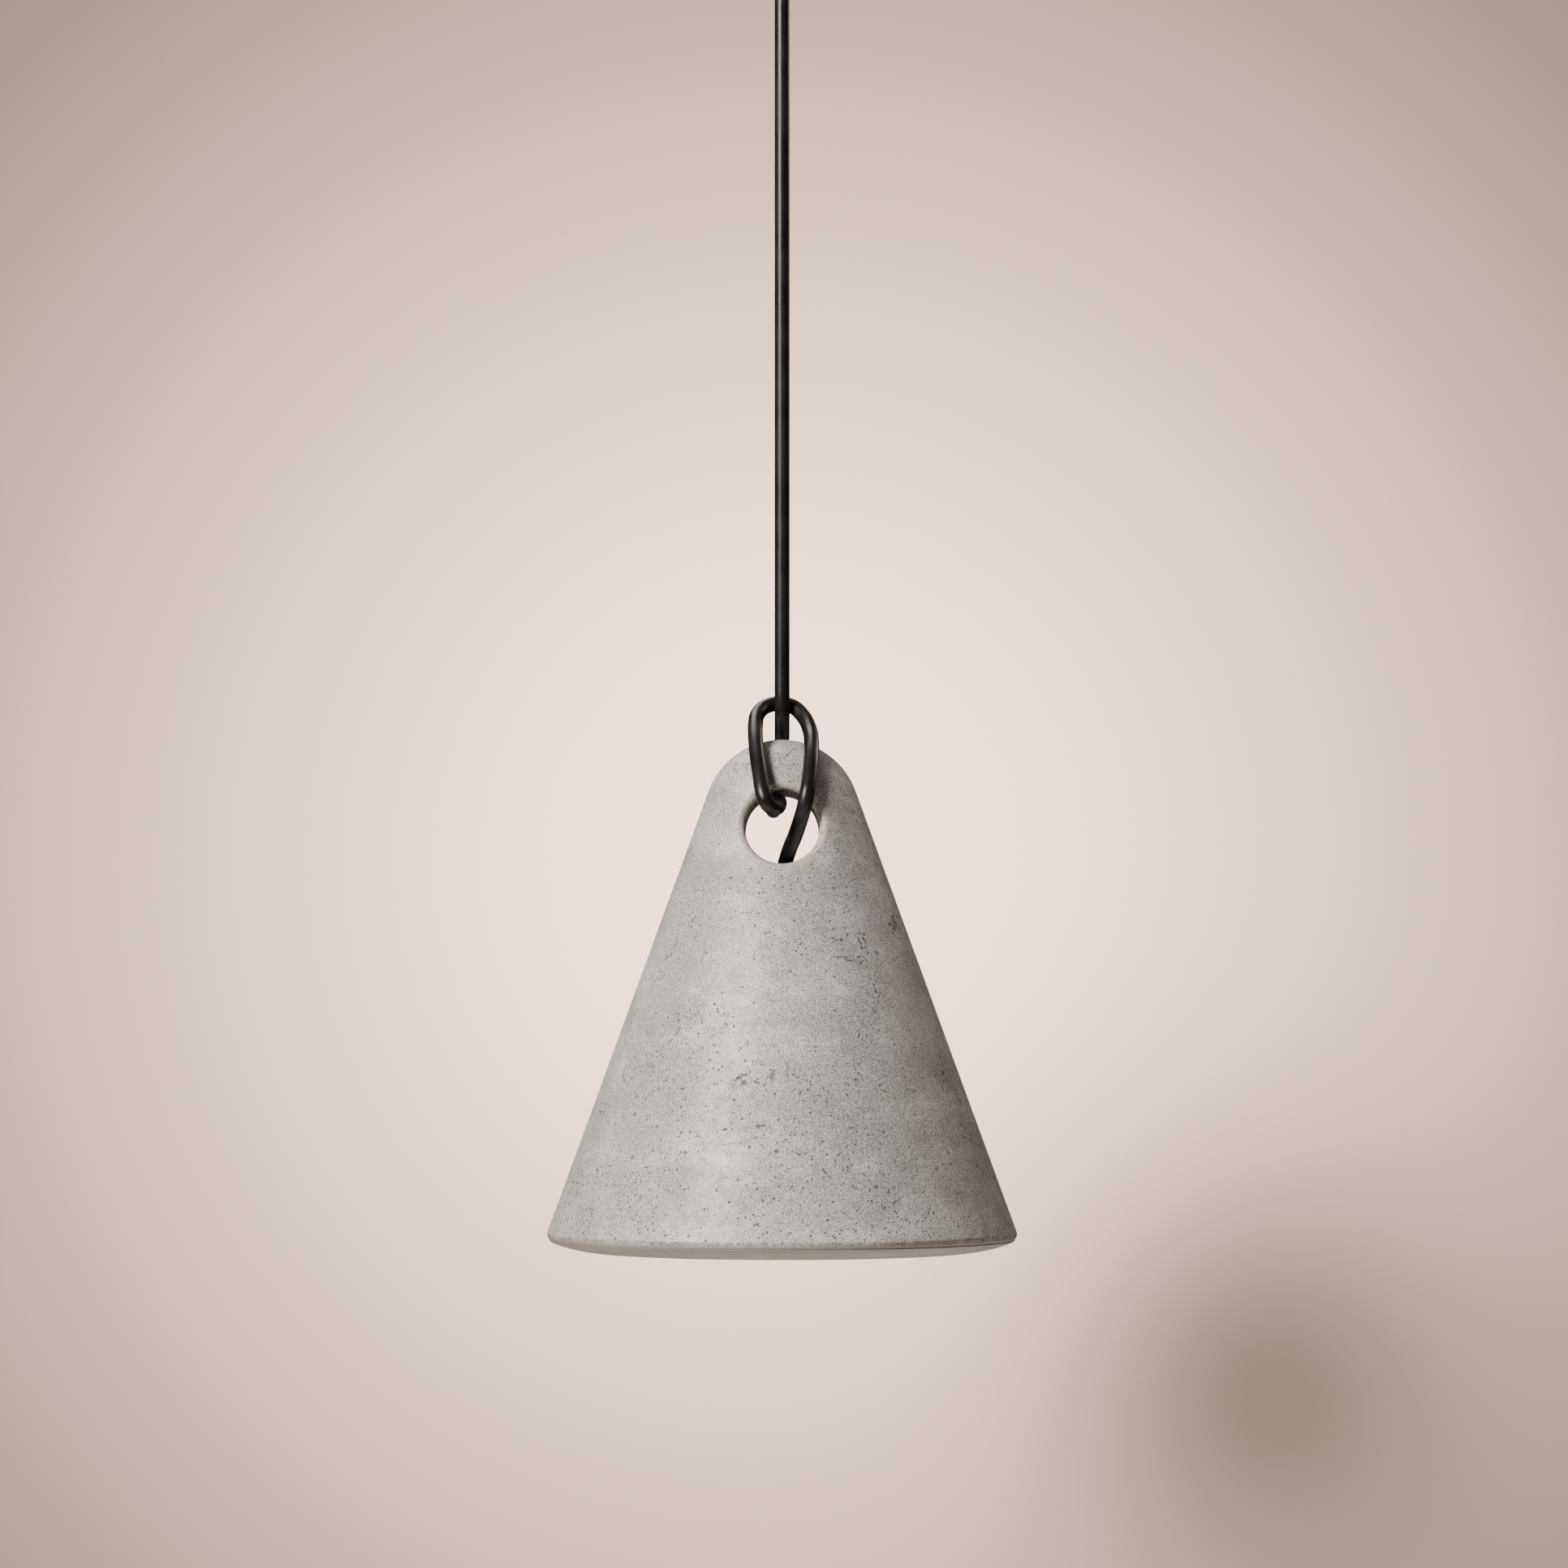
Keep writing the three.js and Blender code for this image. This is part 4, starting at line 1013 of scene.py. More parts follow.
def nut(name, across, hole, low, high, pitch=1.0):
    """A hexagon nut with turned chamfers and a threaded hole."""
    flat = hex_radius(across)
    corner = across / 2 / math.cos(math.pi / 6)
    chamfer = 0.16 * (high - low)
    outline = [
        (hole + 0.5, low),
        (capped(flat, across / 2 * 0.985), low),
        (capped(flat, corner * 0.965), low + chamfer),
        (capped(flat, corner * 0.99), low + 1.5 * chamfer),
        (capped(flat, corner * 0.99), high - 1.5 * chamfer),
        (capped(flat, corner * 0.965), high - chamfer),
        (capped(flat, across / 2 * 0.985), high),
        (hole + 0.5, high),
    ]
    outline += thread(hole + 0.35, high - 0.5, low + 0.5, pitch, 0.35)
    return finish_mesh(name, turned(outline, 96), 24)


def washer(name, node, hole):
    r, low, high = spans(node)
    corners = [(hole, low, 0.15), (r, low, 0.3), (r, high, 0.3), (hole, high, 0.15)]
    return turned_piece(name, corners, 96)


def tube_radii():
    """The threaded tube's outside, its bore and the holes that it goes through."""
    outside = spans("threaded_tube")[0]
    return outside, cord_sizes().diameter / MM / 2 + 0.5, outside + 0.3


def make_passage():
    """The bush in the eye's floor, the threaded tube, its washer and its nut."""
    tube, bore, hole = tube_radii()
    r, low, high = spans("eye_bush")
    top = spans("threaded_tube")[2]
    spigot = r - 2.9
    under = high - 1.8
    corners = [
        (hole, low, 0.3),
        (spigot, low, 0.6),
        (spigot, under, 0.15),
        (r, under, 0.2),
        (r, high, 0.8),
        (r - 2.6, high, 0.9),
        (r - 4.2, high - 3, 1.2),
        (bore + 0.8, top + 4, 0.8),
        (bore + 0.5, top + 0.6, 0.1),
        (hole, top + 0.6, 0.1),
    ]
    lathed("bush_in_eye", "nylon", "shade", "black_nylon", "eye_bush", corners, 96)

    low = spans("threaded_tube")[1]
    outline = [(bore, low), (bore + 0.3, low), (tube - 0.75, low)]
    outline += thread(tube, low + 0.3, top - 0.3, 1.0, 0.55)
    outline += [(tube - 0.75, top), (bore + 0.3, top), (bore, top - 0.3), (bore, low + 0.3)]
    piece = finish_mesh("tube_thread", turned(outline[1:], 72), 24)
    settle(piece, "steel_thread", "shade", "zinc_steel", "threaded_tube")

    piece = washer("broad_washer", "tube_washer", hole)
    settle(piece, "zinc", "shade", "zinc_steel", "tube_washer")
    across = 2 * spans("tube_nut")[0]
    low, high = spans("tube_nut")[1:]
    piece = nut("holding_nut", across, tube, low, high)
    settle(piece, "zinc", "shade", "zinc_steel", "tube_nut")


# ---------------------------------------------------------------- lampholder


RIBS = 40  # moulded round the lampholder for grip
BULB_THREAD = (3.63, 0.62)  # pitch and depth of the holder's and the bulb's thread


def ribbed(radius, low, high, depth=0.55, run_out=1.2):
    """A band of upright moulded ribs, as outline rows that fade in and out."""
    ribs = fluted(radius, depth, RIBS)

    def between(share):
        return lambda angle: radius + (ribs(angle) - radius) * share

    rows = [(radius, low), (between(0.55), low + run_out * 0.4), (ribs, low + run_out)]
    rows += [(ribs, high - run_out), (between(0.55), high - run_out * 0.4), (radius, high)]
    return rows


def make_lampholder():
    tube, _, hole = tube_radii()
    wall = 2
    r, low, high = spans("holder_cap")
    boss, shoulder = tube + 3, high - 5
    bulge = r - boss - 1
    outline = [(r - wall, low), (r - 0.5, low), (r, low + 0.5)]
    outline += ribbed(r, low + 1.2, low + 7.4)
    outline += arc(r - bulge, shoulder - bulge, bulge, 0, 1.5, 16)
    corners = [outline[-1] + (0,), (boss, shoulder, 0.5), (boss, high, 0.9)]
    corners += [(hole, high, 0.3), (hole, shoulder - wall, 0)]
    outline += eased(corners, closed=False)[1:]
    outline += arc(r - bulge, shoulder - bulge, bulge - wall, math.pi / 2, 0, 12)
    piece = finish_mesh("lampholder_cap", turned(outline, 4 * RIBS), 34)
    settle(piece, "nylon", "shade", "black_nylon", "holder_cap")

    r, low, high = spans("holder_skirt")
    lip = 2
    mouth = r - wall - lip
    outline = [(mouth, low + 0.5), (mouth + 0.5, low), (r - lip - 0.6, low)]
    outline += [(r - 0.9, low + 0.8), (r - 0.5, low + lip)]
    outline += thread(r, low + lip + 1, low + lip + 14, 2.1, 0.7)
    outline += [(r - 0.7, low + lip + 15.4), (r, low + lip + 16)]
    outline += ribbed(r, low + lip + 16.6, high - 1.4)
    outline += [(r, high - 0.5), (r - 0.5, high), (r - wall, high), (r - wall, low + lip + 1)]
    outline += [(mouth, low + lip)]
    piece = finish_mesh("lampholder_skirt", turned(outline, 4 * RIBS), 30)
    settle(piece, "nylon", "shade", "black_nylon", "holder_skirt")

    r, low, high = spans("holder_insert")
    corners = [(0, low, 0), (r, low, 0.8), (r, high, 0.8), (0, high, 0)]
    piece = turned_piece("lampholder_insert", corners, 96)
    cutters = []
    for pole in ("live", "neutral"):
        x = middle(f"holder_screw_{pole}")[0]
        cutters.append(rod("hole", 1.8, low - 1, high + 1, x))
        cutters.append(rod("well", 4.4, high - 1.6, high + 1, x))
    cut(piece, *cutters)
    shade_smooth(bevelled(piece, 0.25, 2))
    settle(piece, "ceramic", "shade", "ceramic", "holder_insert")

    for pole in ("live", "neutral"):
        x, y, _ = middle(f"holder_screw_{pole}")
        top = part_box(f"holder_screw_{pole}")[1].z / MM
        piece = placed(screw(f"terminal_{pole}", 2.8, 2, 1.5, 5), (math.pi, "X"), (x, y, top - 2))
        settle(piece, "brass", "shade", "brass", f"holder_screw_{pole}")

    r, low, high = spans("screw_shell")
    wave = rope_thread(r, low + 1.2, high - 0.2, *BULB_THREAD)
    outline = [(r - 0.15, low), (r, low + 0.3)] + wave + [(r - 0.62, high), (r - 1, high)]
    outline += [(radius - 0.42, z) for radius, z in reversed(wave)]
    outline += [(r - 0.45, low + 0.3), (r - 0.3, low)]
    piece = finish_mesh("brass_shell", turned(outline, 96), 50)
    settle(piece, "brass", "shade", "brass", "screw_shell")

    r, low, high = spans("centre_contact")
    corners = [(0, low, 0), (r - 1.1, low, 0.5), (r, low + 0.7, 0.4)]
    corners += [(r, high - 0.4, 0.2), (r - 0.3, high, 0.1), (0, high, 0)]
    piece = turned_piece("sprung_contact", corners, 64)
    cut(piece, block("gap", (-0.3, -r - 1, low - 1), (0.3, r + 1, low + 0.5 * (high - low))))
    shade_smooth(piece)
    settle(piece, "brass", "shade", "brass", "centre_contact")


def make_cores():
    """The two cores from the cord's end to the lampholder's terminals."""
    d = cord_sizes().core / MM
    spread = 1.5
    tube_end = spans("threaded_tube")[1]
    cord_end = spans("cord_hitch")[1]
    seat = spans("holder_insert")[2]
    for side, pole, tone in ((-1, "live", "brown"), (1, "neutral", "blue")):
        x = side * middle(f"holder_screw_{pole}")[0]
        terminal = seat + 0.3 + d / 2
        route = [
            (side * spread, 0, cord_end - 0.3),
            (side * spread, 0, tube_end + 1),
            (side * 2, -1.6, tube_end - 3),
            (side * 5, -5.6, (tube_end + seat - 4) / 2),
            (side * (x - 1.5), -7, terminal + 1.6),
            (side * x, -4.6, terminal),
        ]
        piece = hose(f"core_to_{pole}", smooth_route(route, 0.5), d / 2, 16)
        settle(piece, tone, "shade", f"{tone}_core", f"core_{pole}")


# ---------------------------------------------------------------- bulb


def make_bulb():
    r, low, high = spans("bulb_cap")
    wave = rope_thread(r, low + 2.4, high - 5.2, *BULB_THREAD)
    outline = [(r - 0.75, low), (r - 0.1, low), (r - 0.1, low + 1.6)] + wave
    outline += [(r - 1.1, high - 3.6), (r - 3, high - 0.3), (r - 3.4, high), (r - 3.8, high)]
    outline += [(r - 1.7, high - 4), (r - 1.25, high - 5.4)]
    outline += [(r - 1.25, low + 1.6), (r - 0.8, low + 0.6)]
    piece = finish_mesh("bulb_screw_cap", turned(outline, 96), 50)
    settle(piece, "nickel", "bulb", "zinc_steel", "bulb_cap")

    r, low, high = spans("bulb_insulator")
    corners = [(2.4, low, 0.1), (r, low, 0.2), (5.2, high - 0.2, 0.8)]
    corners += [(4, high, 0.3), (2.4, high, 0.2)]
    lathed("bulb_glass", "nylon", "bulb", "black_nylon", "bulb_insulator", corners)

    r, low, high = spans("bulb_contact")
    corners = [(0, low, 0), (2, low, 0.3), (2, high - 1.1, 0.1)]
    corners += [(r, high - 1.05, 0.2), (2.7, high - 0.35, 0.6), (0, high, 0)]
    lathed("bulb_tip", "nickel", "bulb", "zinc_steel", "bulb_contact", corners, 64)

    r, low, high = spans("bulb_body")
    cap = spans("bulb_cap")[0]
    wall = 1.4
    side = [(r, low + 0.3), (r - 0.1, low + 2.4), (r - 0.6, low + 5)]
    side += [(r - 2.2, low + 8.6), (r - 4.5, low + 12)]
    side += [(cap + 2.6, high - 4), (cap + 0.9, high - 1.9), (cap + 0.15, high - 0.5)]
    route = smooth_route([(a, 0, b) for a, b in side], 0.7)
    outer = [(p.x, p.z) for p in route]
    outline = [(r - wall, low), (r - 0.3, low)] + outer + [(cap - 0.3, high), (cap - wall, high)]
    outline += [(a - wall, b - 0.2) for a, b in reversed(outer[2:-2:3])]
    piece = finish_mesh("bulb_shell", turned(outline, 96), 40)
    settle(piece, "bulb_body", "bulb", "white_plastic", "bulb_body")

    r, low, high = spans("bulb_board")
    corners = [(0, low, 0), (r, low, 0.2), (r, high, 0.2), (0, high, 0)]
    lathed("bulb_plate", "aluminium", "bulb", "aluminium", "bulb_board", corners)
    chips = []
    count = 12
    for k in range(count):
        a = 2 * math.pi * k / count
        chip = rounded_box("chip", (-1.5, -1, low - 0.28), (1.5, 1, low - 0.02), 0.08, 1)
        chips.append(placed(placed(chip, None, (0.62 * r, 0, 0)), (a, "Z")))
    piece = joined("bulb_chips", *chips)
    settle(piece, "phosphor", "bulb", "opal")

    r, low, high = spans("bulb_globe")
    centre = low + r
    inner = r - wall
    rim, inner_rim = math.asin(min(1, (high - centre) / r)), math.asin((high - centre) / inner)
    outline = arc(0, centre, r, -math.pi / 2, rim, 44)
    outline += arc(0, centre, inner, inner_rim, -math.pi / 2, 30)
    piece = finish_mesh("bulb_dome", turned(outline, 128, closed=False), 40)
    settle(piece, "opal", "bulb", "opal", "bulb_globe")


# ---------------------------------------------------------------- ceiling end


def make_bracket():
    """A bent steel strap with slots for the ceiling's screws, and the earth screw."""
    low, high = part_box("ceiling_bracket")
    x, wide, drop = high.x / MM, high.y / MM, low.z / MM
    sheet = 2.0
    bends = [(-x, drop, 0.3), (-x, 0, 3), (x, 0, 3), (x, drop, 0.3), (x - sheet, drop, 0.3)]
    bends += [(x - sheet, -sheet, 1), (-x + sheet, -sheet, 1), (-x + sheet, drop, 0.3)]
    piece = prism("ceiling_strap", eased(bends, steps=6), -wide, wide, "Y")
    cutters = [rod("cable", 4.5, -9, 5, -10.5)]
    earth = middle("earth_screw")[:2]
    cutters.append(rod("earth", 1.8, -9, 5, *earth))
    for side in (-1, 1):
        slot = prism("slot", slot_outline(12, 4.8), -9, 5)
        cutters.append(placed(slot, None, (side * (x - 17), 0, 0)))
    across = rod("across", 2.3, -x - 1, x + 1)
    cutters.append(placed(across, (math.pi / 2, "Y"), (0, 0, middle("cup_screw_left")[2])))
    cut(piece, *cutters)
    shade_smooth(bevelled(piece, 0.22, 2))
    settle(piece, "zinc", "ceiling", "zinc_steel", "ceiling_bracket")

    piece = screw("earth_terminal", 2.8, 1.8, 1.5, 3.4, pitch=0.6)
    placed(piece, None, (*earth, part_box("earth_screw")[1].z / MM - 3.4))
    settle(piece, "brass", "ceiling", "brass", "earth_screw")


def make_terminal_block():
    low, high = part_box("terminal_block")
    x, y, bottom, top = high.x / MM, high.y / MM, low.z / MM, high.z / MM
    pitch = 2 * x / 3
    bore_z = (bottom + top) / 2
    half = pitch / 2 - 0.5
    parts = [rounded_box("block_base", (-x, -y + 3.2, top - 4), (x, y - 3.2, top), 0.5)]
    for i in (-1, 0, 1):
        left, right = i * pitch - half, i * pitch + half
        corners = [(left, bottom + 1.4, 0.4), (right, bottom + 1.4, 0.4), (right, top - 0.6, 1.2)]
        body = prism("pole", eased(corners + [(left, top - 0.6, 1.2)]), -y, y, "Y")
        parts.append(shade_smooth(bevelled(body, 0.35, 2)))
        for side in (-1, 1):
            tower = rod("tower", 2.9, bottom, bore_z, i * pitch, side * 4.6, 40)
            parts.append(shade_smooth(bevelled(tower, 0.3, 2)))
    parts.append(rounded_box("bridge", (-x + 1, -2.6, bottom + 2.4), (x - 1, 2.6, top - 1), 0.4))
    piece = cut(*parts, operation="UNION")
    cutters = []
    for i in (-1, 0, 1):
        bore = rod("bore", 2.2, -y - 1, y + 1)
        cutters.append(placed(bore, (math.pi / 2, "X"), (i * pitch, 0, bore_z)))
        for side in (-1, 1):
            cutters.append(rod("well", 1.8, bottom - 1, bore_z, i * pitch, side * 4.6))
    cut(piece, *cutters)
    shade_smooth(piece)
    piece.name = piece.data.name = "choc_block"
    settle(piece, "block", "ceiling", "white_plastic", "terminal_block")

    for pole in ("live", "earth", "neutral"):
        node = f"terminal_sleeve_{pole}"
        a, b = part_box(node)
        x, _, z = middle(node)
        r, half = (b.z - a.z) / 2 / MM, b.y / MM
        corners = [(r - 0.5, -half, 0.1), (r, -half, 0.2), (r, half, 0.2), (r - 0.5, half, 0.1)]
        piece = turned_piece(f"sleeve_{pole}", corners, 40)
        placed(piece, (math.pi / 2, "X"), (x, 0, z))
        settle(piece, "brass", "ceiling", "brass", node)
        for end in ("lamp", "mains"):
            node = f"terminal_screw_{pole}_{end}"
            a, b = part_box(node)
            r, long = (b.x - a.x) / 2 / MM, (b.z - a.z) / MM
            piece = screw(f"grub_{pole}_{end}", r, 0.6, r, long - 0.6, pitch=0.5, slot=0.6)
            placed(piece, None, (*middle(node)[:2], a.z / MM + 0.6))
            settle(piece, "brass", "ceiling", "brass", node)


def make_leads():
    """The two cores between the cord and the block, and the earth lead to the bracket."""
    d = cord_sizes().core / MM
    pole = middle("terminal_block")[2]
    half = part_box("terminal_block")[1].y / MM
    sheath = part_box("cord_in_grip")[1].z / MM
    for side, name, tone in ((-1, "live", "brown"), (1, "neutral", "blue")):
        x = side * middle(f"terminal_sleeve_{name}")[0]
        route = [
            (side * 1.5, 0, sheath + 0.3),
            (side * 1.5, -0.3, sheath + 2),
            (side * 4, -6, sheath + 3.6),
            (side * 9, -15, sheath + 7),
            (side * (x + 1), -20, pole - 4),
            (side * x, -19, pole),
            (side * x, -14, pole),
            (side * x, -half + 4, pole),
        ]
        piece = hose(f"{tone}_lead", smooth_route(route, 0.6), d / 2, 16)
        dressed(piece, tone, f"{tone}_core", f"lead_{name}")
        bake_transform(piece)
    x, y, _ = middle("earth_screw")
    under = -2.3
    route = [
        (0, half - 4, pole),
        (0, 13, pole),
        (4, 16.6, pole + 0.4),
        (14, 16, pole + 2),
        (25, 10.6, under - 3),
        (x - 4.6, y, under - d / 2),
    ]
    piece = hose("striped_lead", smooth_route(route, 0.6), d / 2, 16)
    settle(piece, "earth", "ceiling", "earth_core", "lead_earth")


def make_cup():
    r, low, high = spans("ceiling_cup")
    sheet, hole = 1.2, 5.3
    corners = [
        (hole, low, 0.25),
        (r, low, 4),
        (r, high, 0.5),
        (r - sheet, high, 0.5),
        (r - sheet, low + sheet, 2.8),
        (hole, low + sheet, 0.25),
    ]
    piece = turned_piece("steel_cup", corners, 160, 50, 10)
    slot = arc(0, middle("cup_screw_left")[2], 2.5, math.pi, 2 * math.pi, 12)
    cut(piece, prism("slot", slot + [(2.5, 3), (-2.5, 3)], -r - 4, r + 4, "X"))
    shade_smooth(piece, 50)
    settle(piece, "paint", "cup", "black_paint", "ceiling_cup")

    for side, name in ((-1, "left"), (1, "right")):
        node = f"cup_screw_{name}"
        a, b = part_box(node)
        seat = max(abs(a.x), abs(b.x)) / MM - 2.6
        piece = screw(f"side_{name}_screw", 4, 2.6, 2, 7.4, pitch=0.7, slot=1.1)
        placed(piece, (-side * math.pi / 2, "Y"), (side * seat, 0, middle(node)[2]))
        settle(piece, "paint", "ceiling", "black_paint", node)


def make_grip():
    """The tapered, ringed cord grip under the cup, its nut, washer and clamping screw."""
    bore = cord_sizes().diameter / MM / 2 + 0.4
    r, low, top = spans("cord_grip")
    high = spans("ceiling_cup")[1] - 0.3
    stem, wide, end = bore + 1.5, bore + 4.1, bore + 1.9
    under = high - 3
    taper = under - 3
    outline = [(bore, low + 0.6), (bore + 0.5, low), (end - 0.7, low), (end - 0.15, low + 0.3)]
    rings = 4
    pitch = (taper - 3.6 - low - 0.6) / rings

    def side(z):
        return end + (wide - end) * (z - low) / (taper - low)

    for i in range(rings):
        z = low + 0.7 + i * pitch
        for k, dip in ((0.0, 0), (0.5, 0), (0.62, 0.5), (0.72, 0.62), (0.82, 0.5), (0.94, 0)):
            outline.append((side(z + k * pitch) - dip, z + k * pitch))
    outline += eased(
        [
            (side(taper - 2), taper - 2, 0),
            (wide, taper, 0.8),
            (wide, under, 0.4),
            (r, under + 0.8, 0.5),
            (r, high, 0.25),
            (stem, high, 0),
        ],
        closed=False,
    )
    outline += thread(stem, high + 0.3, top - 0.6, 1.0, 0.5) + [(stem - 0.7, top), (bore, top)]
    piece = finish_mesh("ringed_grip", turned(outline, 96), 40)
    a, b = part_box("grip_screw")
    z = middle("grip_screw")[2]
    cut(piece, placed(rod("hole", 1.8, 0, r), (math.pi / 2, "Y"), (0, 0, z)))
    shade_smooth(piece, 36)
    settle(piece, "nylon", "cup", "black_nylon", "cord_grip")

    piece = screw("clamping_screw", 1.5, 0.6, 1.5, (b.x - a.x) / MM - 0.6, pitch=0.5, slot=0.6)
    placed(piece, (-math.pi / 2, "Y"), (b.x / MM - 0.6, 0, z))
    settle(piece, "zinc", "cup", "zinc_steel", "grip_screw")
    piece = washer("thin_washer", "grip_washer", stem + 0.3)
    settle(piece, "zinc", "cup", "zinc_steel", "grip_washer")
    r, low, high = spans("grip_nut")
    piece = nut("cup_nut", 2 * r, stem, low, high)
    settle(piece, "zinc", "cup", "zinc_steel", "grip_nut")


# ---------------------------------------------------------------- stage


ROOM_TINT = (1.0, 0.86, 0.74)
ROOM_LIGHT = 0.05
WALL_TINT = (1.0, 0.67, 0.515)
WALL_GLOW = 3.9
WALL_SPREAD = 56.7
# away from the wall's middle the room brightens, between these two leans, to this strength
FAR_STARTS, FAR_FULL, FAR_LIGHT = 0.028, 0.09, 1.3
# direction across the room (sideways, up), narrowness, depth
WALL_SHADOWS = ((0.100, -0.062, 800, 0.40), (0.106, -0.086, 700, 0.34))

# name, bearing round the lamp from the front and height above it in degrees, distance, size,
# watts, tint
SOFT_BOXES = (
    ("window", -40, 30, 2.2, 0.8, 89, (1.0, 0.93, 0.87)),
    ("rim", 130, 30, 2.2, 0.8, 10, (1.0, 0.86, 0.74)),
    ("behind", 200, 55, 2.4, 1.2, 20, (1.0, 0.93, 0.87)),
    ("floor_bounce", -20, -60, 2.0, 1.4, 5, (1.0, 0.88, 0.78)),
)

CAMERA_PLACE = (0.0008, -1.96, SHADE_HIGH.z - 0.1292)
CAMERA_TILT = 3.22  # degrees up
CAMERA_LENS = 105.2
FLOOR_RADIUS = 900
FLOOR_DROP = 0.36


def away_from(graph, direction, x, z):
    """One less the cosine of the angle from a direction across the room."""
    towards = graph.node("ShaderNodeVectorMath", operation="DOT_PRODUCT")
    graph.link(direction, towards.inputs[0])
    towards.inputs[1].default_value = Vector((x, 1, z)).normalized()
    return graph.math("SUBTRACT", 1.0, towards.outputs["Value"])


def backdrop_light():
    """The room: a dim warm light on the lamp, and behind it a pale wall lit round the middle, with
    a painted soft shadow on it.
    """
    world = bpy.data.worlds.new("room")
    bpy.context.scene.world = world
    world.use_nodes = True
    g = Graph(world.node_tree)
    direction = g.node("ShaderNodeTexCoord").outputs["Generated"]

    lean = away_from(g, direction, 0.0, 0.04)
    spread = g.math("POWER", g.math("MULTIPLY_ADD", lean, WALL_SPREAD, 1.0), 2.0)
    pool = g.math("DIVIDE", WALL_GLOW, spread)
    # a painted soft shadow on the wall, as if cast by the lamp
    painted_wall_shadow = 0.0
    for x, z, narrow, depth in WALL_SHADOWS:
        fall = g.math("MULTIPLY", away_from(g, direction, x, z), -narrow)
        painted_wall_shadow = g.math("MULTIPLY_ADD", g.math("POWER", math.e, fall), depth, painted_wall_shadow)
    pool = g.math("MULTIPLY", pool, g.math("SUBTRACT", 1.0, painted_wall_shadow))
    far = g.range(lean, FAR_STARTS, FAR_FULL, 0, FAR_LIGHT)

    ambient = g.tree.nodes["Background"]
    ambient.inputs["Color"].default_value = (*ROOM_TINT, 1)
    ambient.inputs["Strength"].default_value = ROOM_LIGHT
    glow = g.math("ADD", pool, far)
    wall = g.fed("ShaderNodeBackground", {"Color": (*WALL_TINT, 1), "Strength": glow})
    seen = g.node("ShaderNodeLightPath").outputs["Is Camera Ray"]
    mix = g.node("ShaderNodeMixShader")
    for source, socket in zip((seen, ambient.outputs[0], wall[0]), mix.inputs):
        g.link(source, socket)
    g.link(mix.outputs[0], g.tree.nodes["World Output"].inputs[0])


def make_stage():
    """A small pale floor under the lamp, soft light from the left and a camera below the eye."""
    scene = bpy.context.scene
    floor = finish_mesh("floor", turned([(0, 0), (FLOOR_RADIUS, 0)], 96, closed=False))
    moved(floor, at(0, 0, SHADE_LOW.z - FLOOR_DROP))
    f = Finish("pale floor")
    grain = f.range(f.noise(40, 3), 0.3, 0.7)
    floor.data.materials.append(
        f.set(color=f.blend(grain, (0.80, 0.72, 0.65), (0.84, 0.76, 0.69)), rough=0.8)
    )
    backdrop_light()

    centre = Vector((0, 0, (SHADE_LOW.z + SHADE_HIGH.z) / 2))
    for name, bearing, height, distance, size, watts, tint in SOFT_BOXES:
        light = bpy.data.lights.new(name, "AREA")
        light.shape = "DISK"
        light.size = size
        light.energy = watts
        light.color = tint
        lamp = bpy.data.objects.new(name, light)
        scene.collection.objects.link(lamp)
        a, e = math.radians(bearing), math.radians(height)
        way = Vector((math.sin(a) * math.cos(e), -math.cos(a) * math.cos(e), math.sin(e)))
        lamp.location = centre + way * distance
        lamp.rotation_mode = "QUATERNION"
        lamp.rotation_quaternion = (-way).to_track_quat("-Z", "Y")

    camera = bpy.data.cameras.new("camera")
    camera.lens = CAMERA_LENS
    camera.sensor_width = 36
    camera.clip_start = 0.05
    eye = bpy.data.objects.new("camera", camera)
    scene.collection.objects.link(eye)
    eye.location = CAMERA_PLACE
    eye.rotation_euler = (math.pi / 2 + math.radians(CAMERA_TILT), 0, 0)
    scene.camera = eye


# ---------------------------------------------------------------- operators


class PENDANT_OT_stage(bpy.types.Operator):
    """Sets up the floor, the lights and the camera"""

    bl_idname = "pendant.stage"
    bl_label = "Stage"

    def execute(self, context):
        make_stage()
        return {"FINISHED"}


class PENDANT_OT_cord(bpy.types.Operator):
    """Makes the cord from the ceiling cup through the hitch to the lampholder"""

    bl_idname = "pendant.cord"
    bl_label = "Cord"

    def execute(self, context):
        make_pendant_cord()
        make_upper_cord()
        return {"FINISHED"}


class PENDANT_OT_shade(bpy.types.Operator):
    """Makes the cast concrete shade"""

    bl_idname = "pendant.shade"
    bl_label = "Shade"

    def execute(self, context):
        make_shade()
        return {"FINISHED"}


class PENDANT_OT_passage(bpy.types.Operator):
    """Makes the bush in the eye, the threaded tube, its washer and its nut"""

    bl_idname = "pendant.passage"
    bl_label = "Bush and tube"

    def execute(self, context):
        make_passage()
        return {"FINISHED"}


class PENDANT_OT_lampholder(bpy.types.Operator):
    """Makes the lampholder and the cores that go to it"""

    bl_idname = "pendant.lampholder"
    bl_label = "Lampholder"

    def execute(self, context):
        make_lampholder()
        make_cores()
        return {"FINISHED"}


class PENDANT_OT_bulb(bpy.types.Operator):
    """Makes the bulb"""

    bl_idname = "pendant.bulb"
    bl_label = "Bulb"

    def execute(self, context):
        make_bulb()
        return {"FINISHED"}


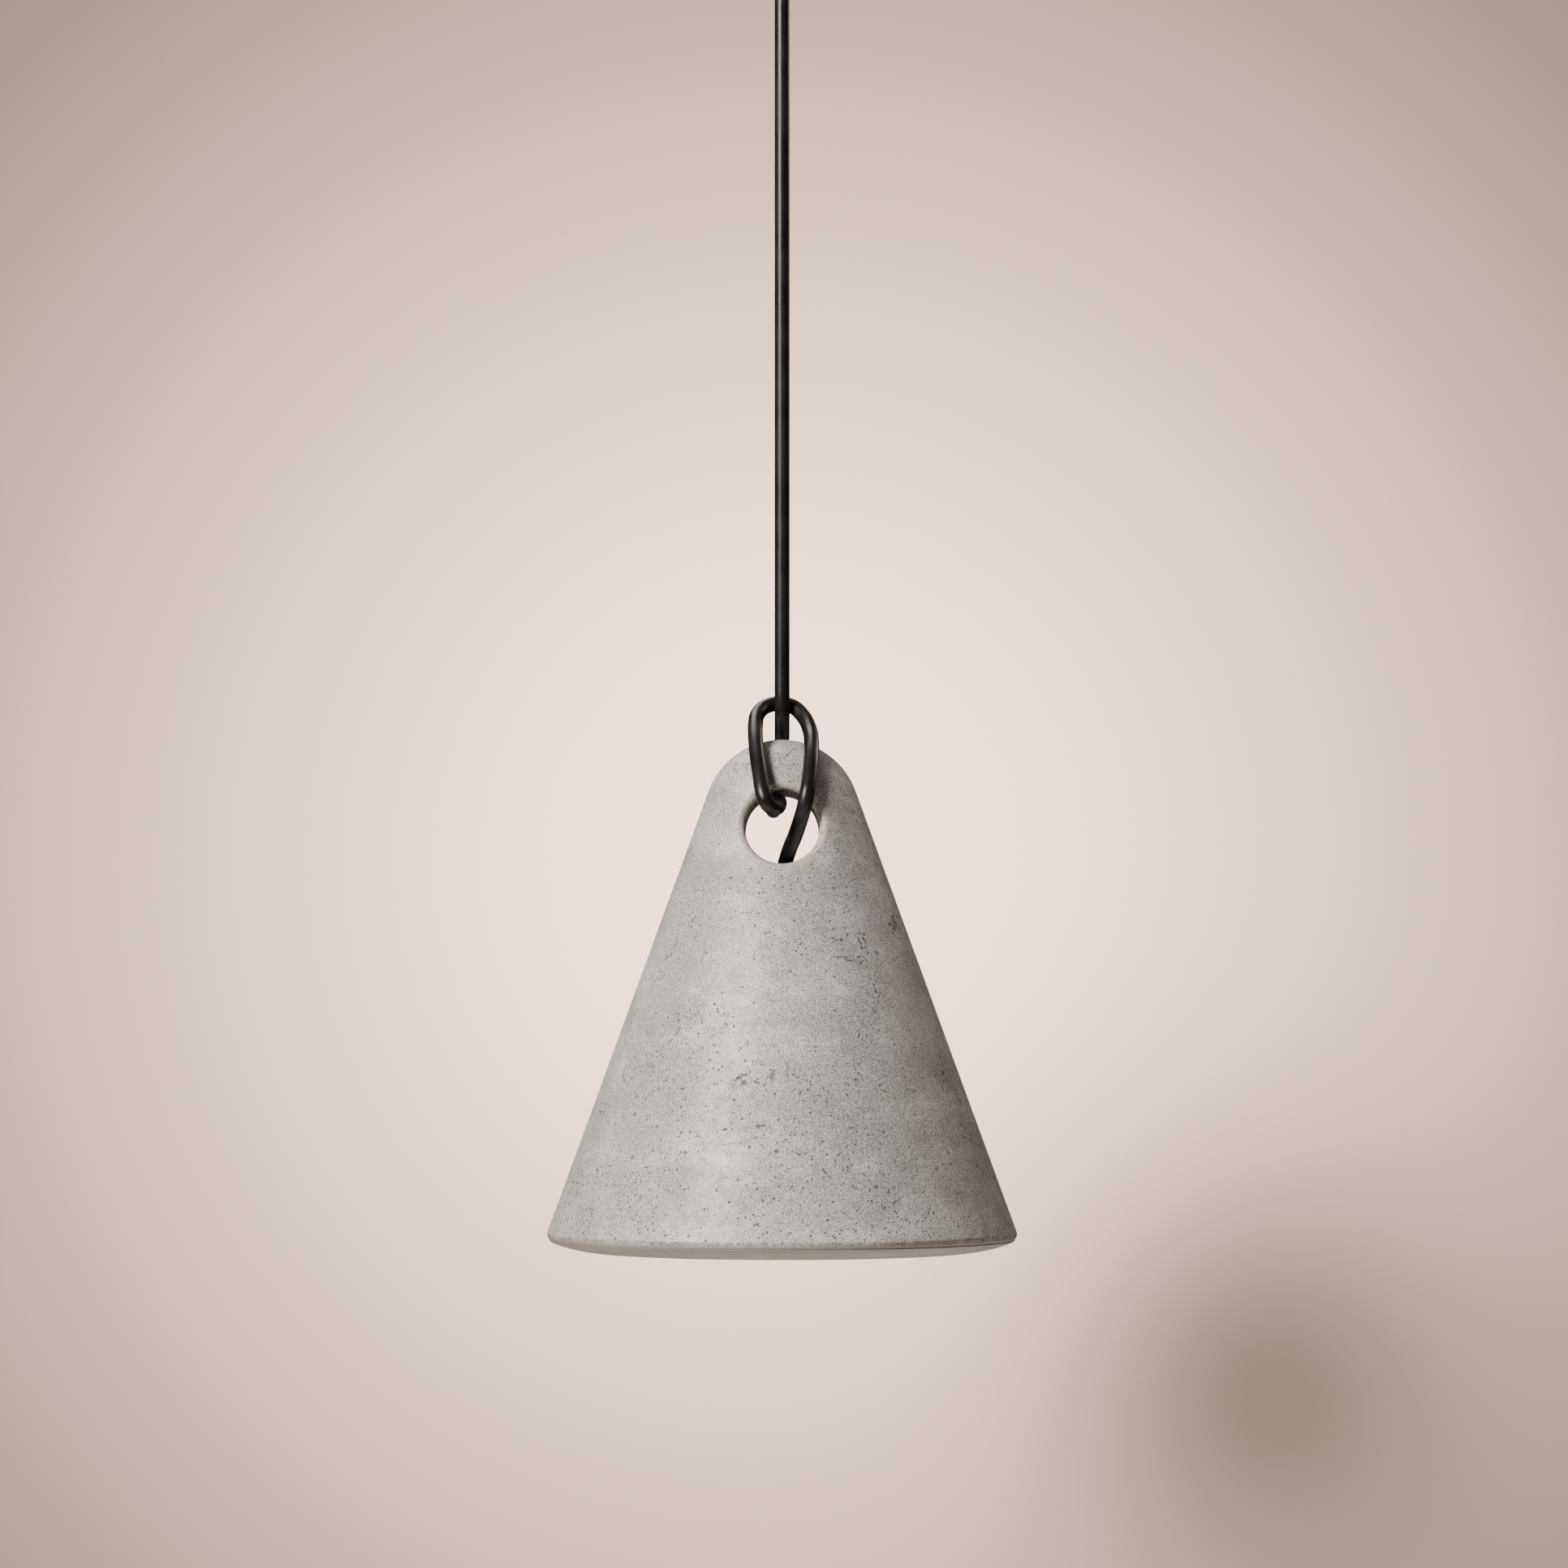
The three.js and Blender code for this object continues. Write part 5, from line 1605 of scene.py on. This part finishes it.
class PENDANT_OT_bracket(bpy.types.Operator):
    """Makes the ceiling bracket, the terminal block and the leads"""

    bl_idname = "pendant.bracket"
    bl_label = "Bracket"

    def execute(self, context):
        make_bracket()
        make_terminal_block()
        make_leads()
        return {"FINISHED"}


class PENDANT_OT_cup(bpy.types.Operator):
    """Makes the ceiling cup, its screws and the cord grip"""

    bl_idname = "pendant.cup"
    bl_label = "Ceiling cup"

    def execute(self, context):
        make_cup()
        make_grip()
        return {"FINISHED"}


STEPS = (
    PENDANT_OT_stage,
    PENDANT_OT_cord,
    PENDANT_OT_shade,
    PENDANT_OT_passage,
    PENDANT_OT_lampholder,
    PENDANT_OT_bulb,
    PENDANT_OT_bracket,
    PENDANT_OT_cup,
)
GROUPS = (ShadeSizes, CordSizes, Colours)


class PENDANT_PT_panel(bpy.types.Panel):
    bl_label = "Pendant"
    bl_idname = "PENDANT_PT_panel"
    bl_space_type = "VIEW_3D"
    bl_region_type = "UI"
    bl_category = "Pendant"

    def draw(self, context):
        for step in STEPS:
            self.layout.operator(step.bl_idname)
        for group in (shade_sizes(), cord_sizes(), colours()):
            for key in group.__annotations__:
                self.layout.prop(group, key)


def register():
    for cls in (*GROUPS, *STEPS, PENDANT_PT_panel):
        bpy.utils.register_class(cls)
    bpy.types.Scene.pendant_shade = PointerProperty(type=ShadeSizes)
    bpy.types.Scene.pendant_cord = PointerProperty(type=CordSizes)
    bpy.types.Scene.pendant_colours = PointerProperty(type=Colours)


def unregister():
    del bpy.types.Scene.pendant_colours
    del bpy.types.Scene.pendant_cord
    del bpy.types.Scene.pendant_shade
    for cls in reversed((*GROUPS, *STEPS, PENDANT_PT_panel)):
        bpy.utils.unregister_class(cls)


def main():
    register()
    bpy.ops.pendant.stage()
    bpy.ops.pendant.cord()
    bpy.ops.pendant.shade()
    bpy.ops.pendant.passage()
    bpy.ops.pendant.lampholder()
    bpy.ops.pendant.bulb()
    bpy.ops.pendant.bracket()
    bpy.ops.pendant.cup()


if __name__ == "__main__":
    main()
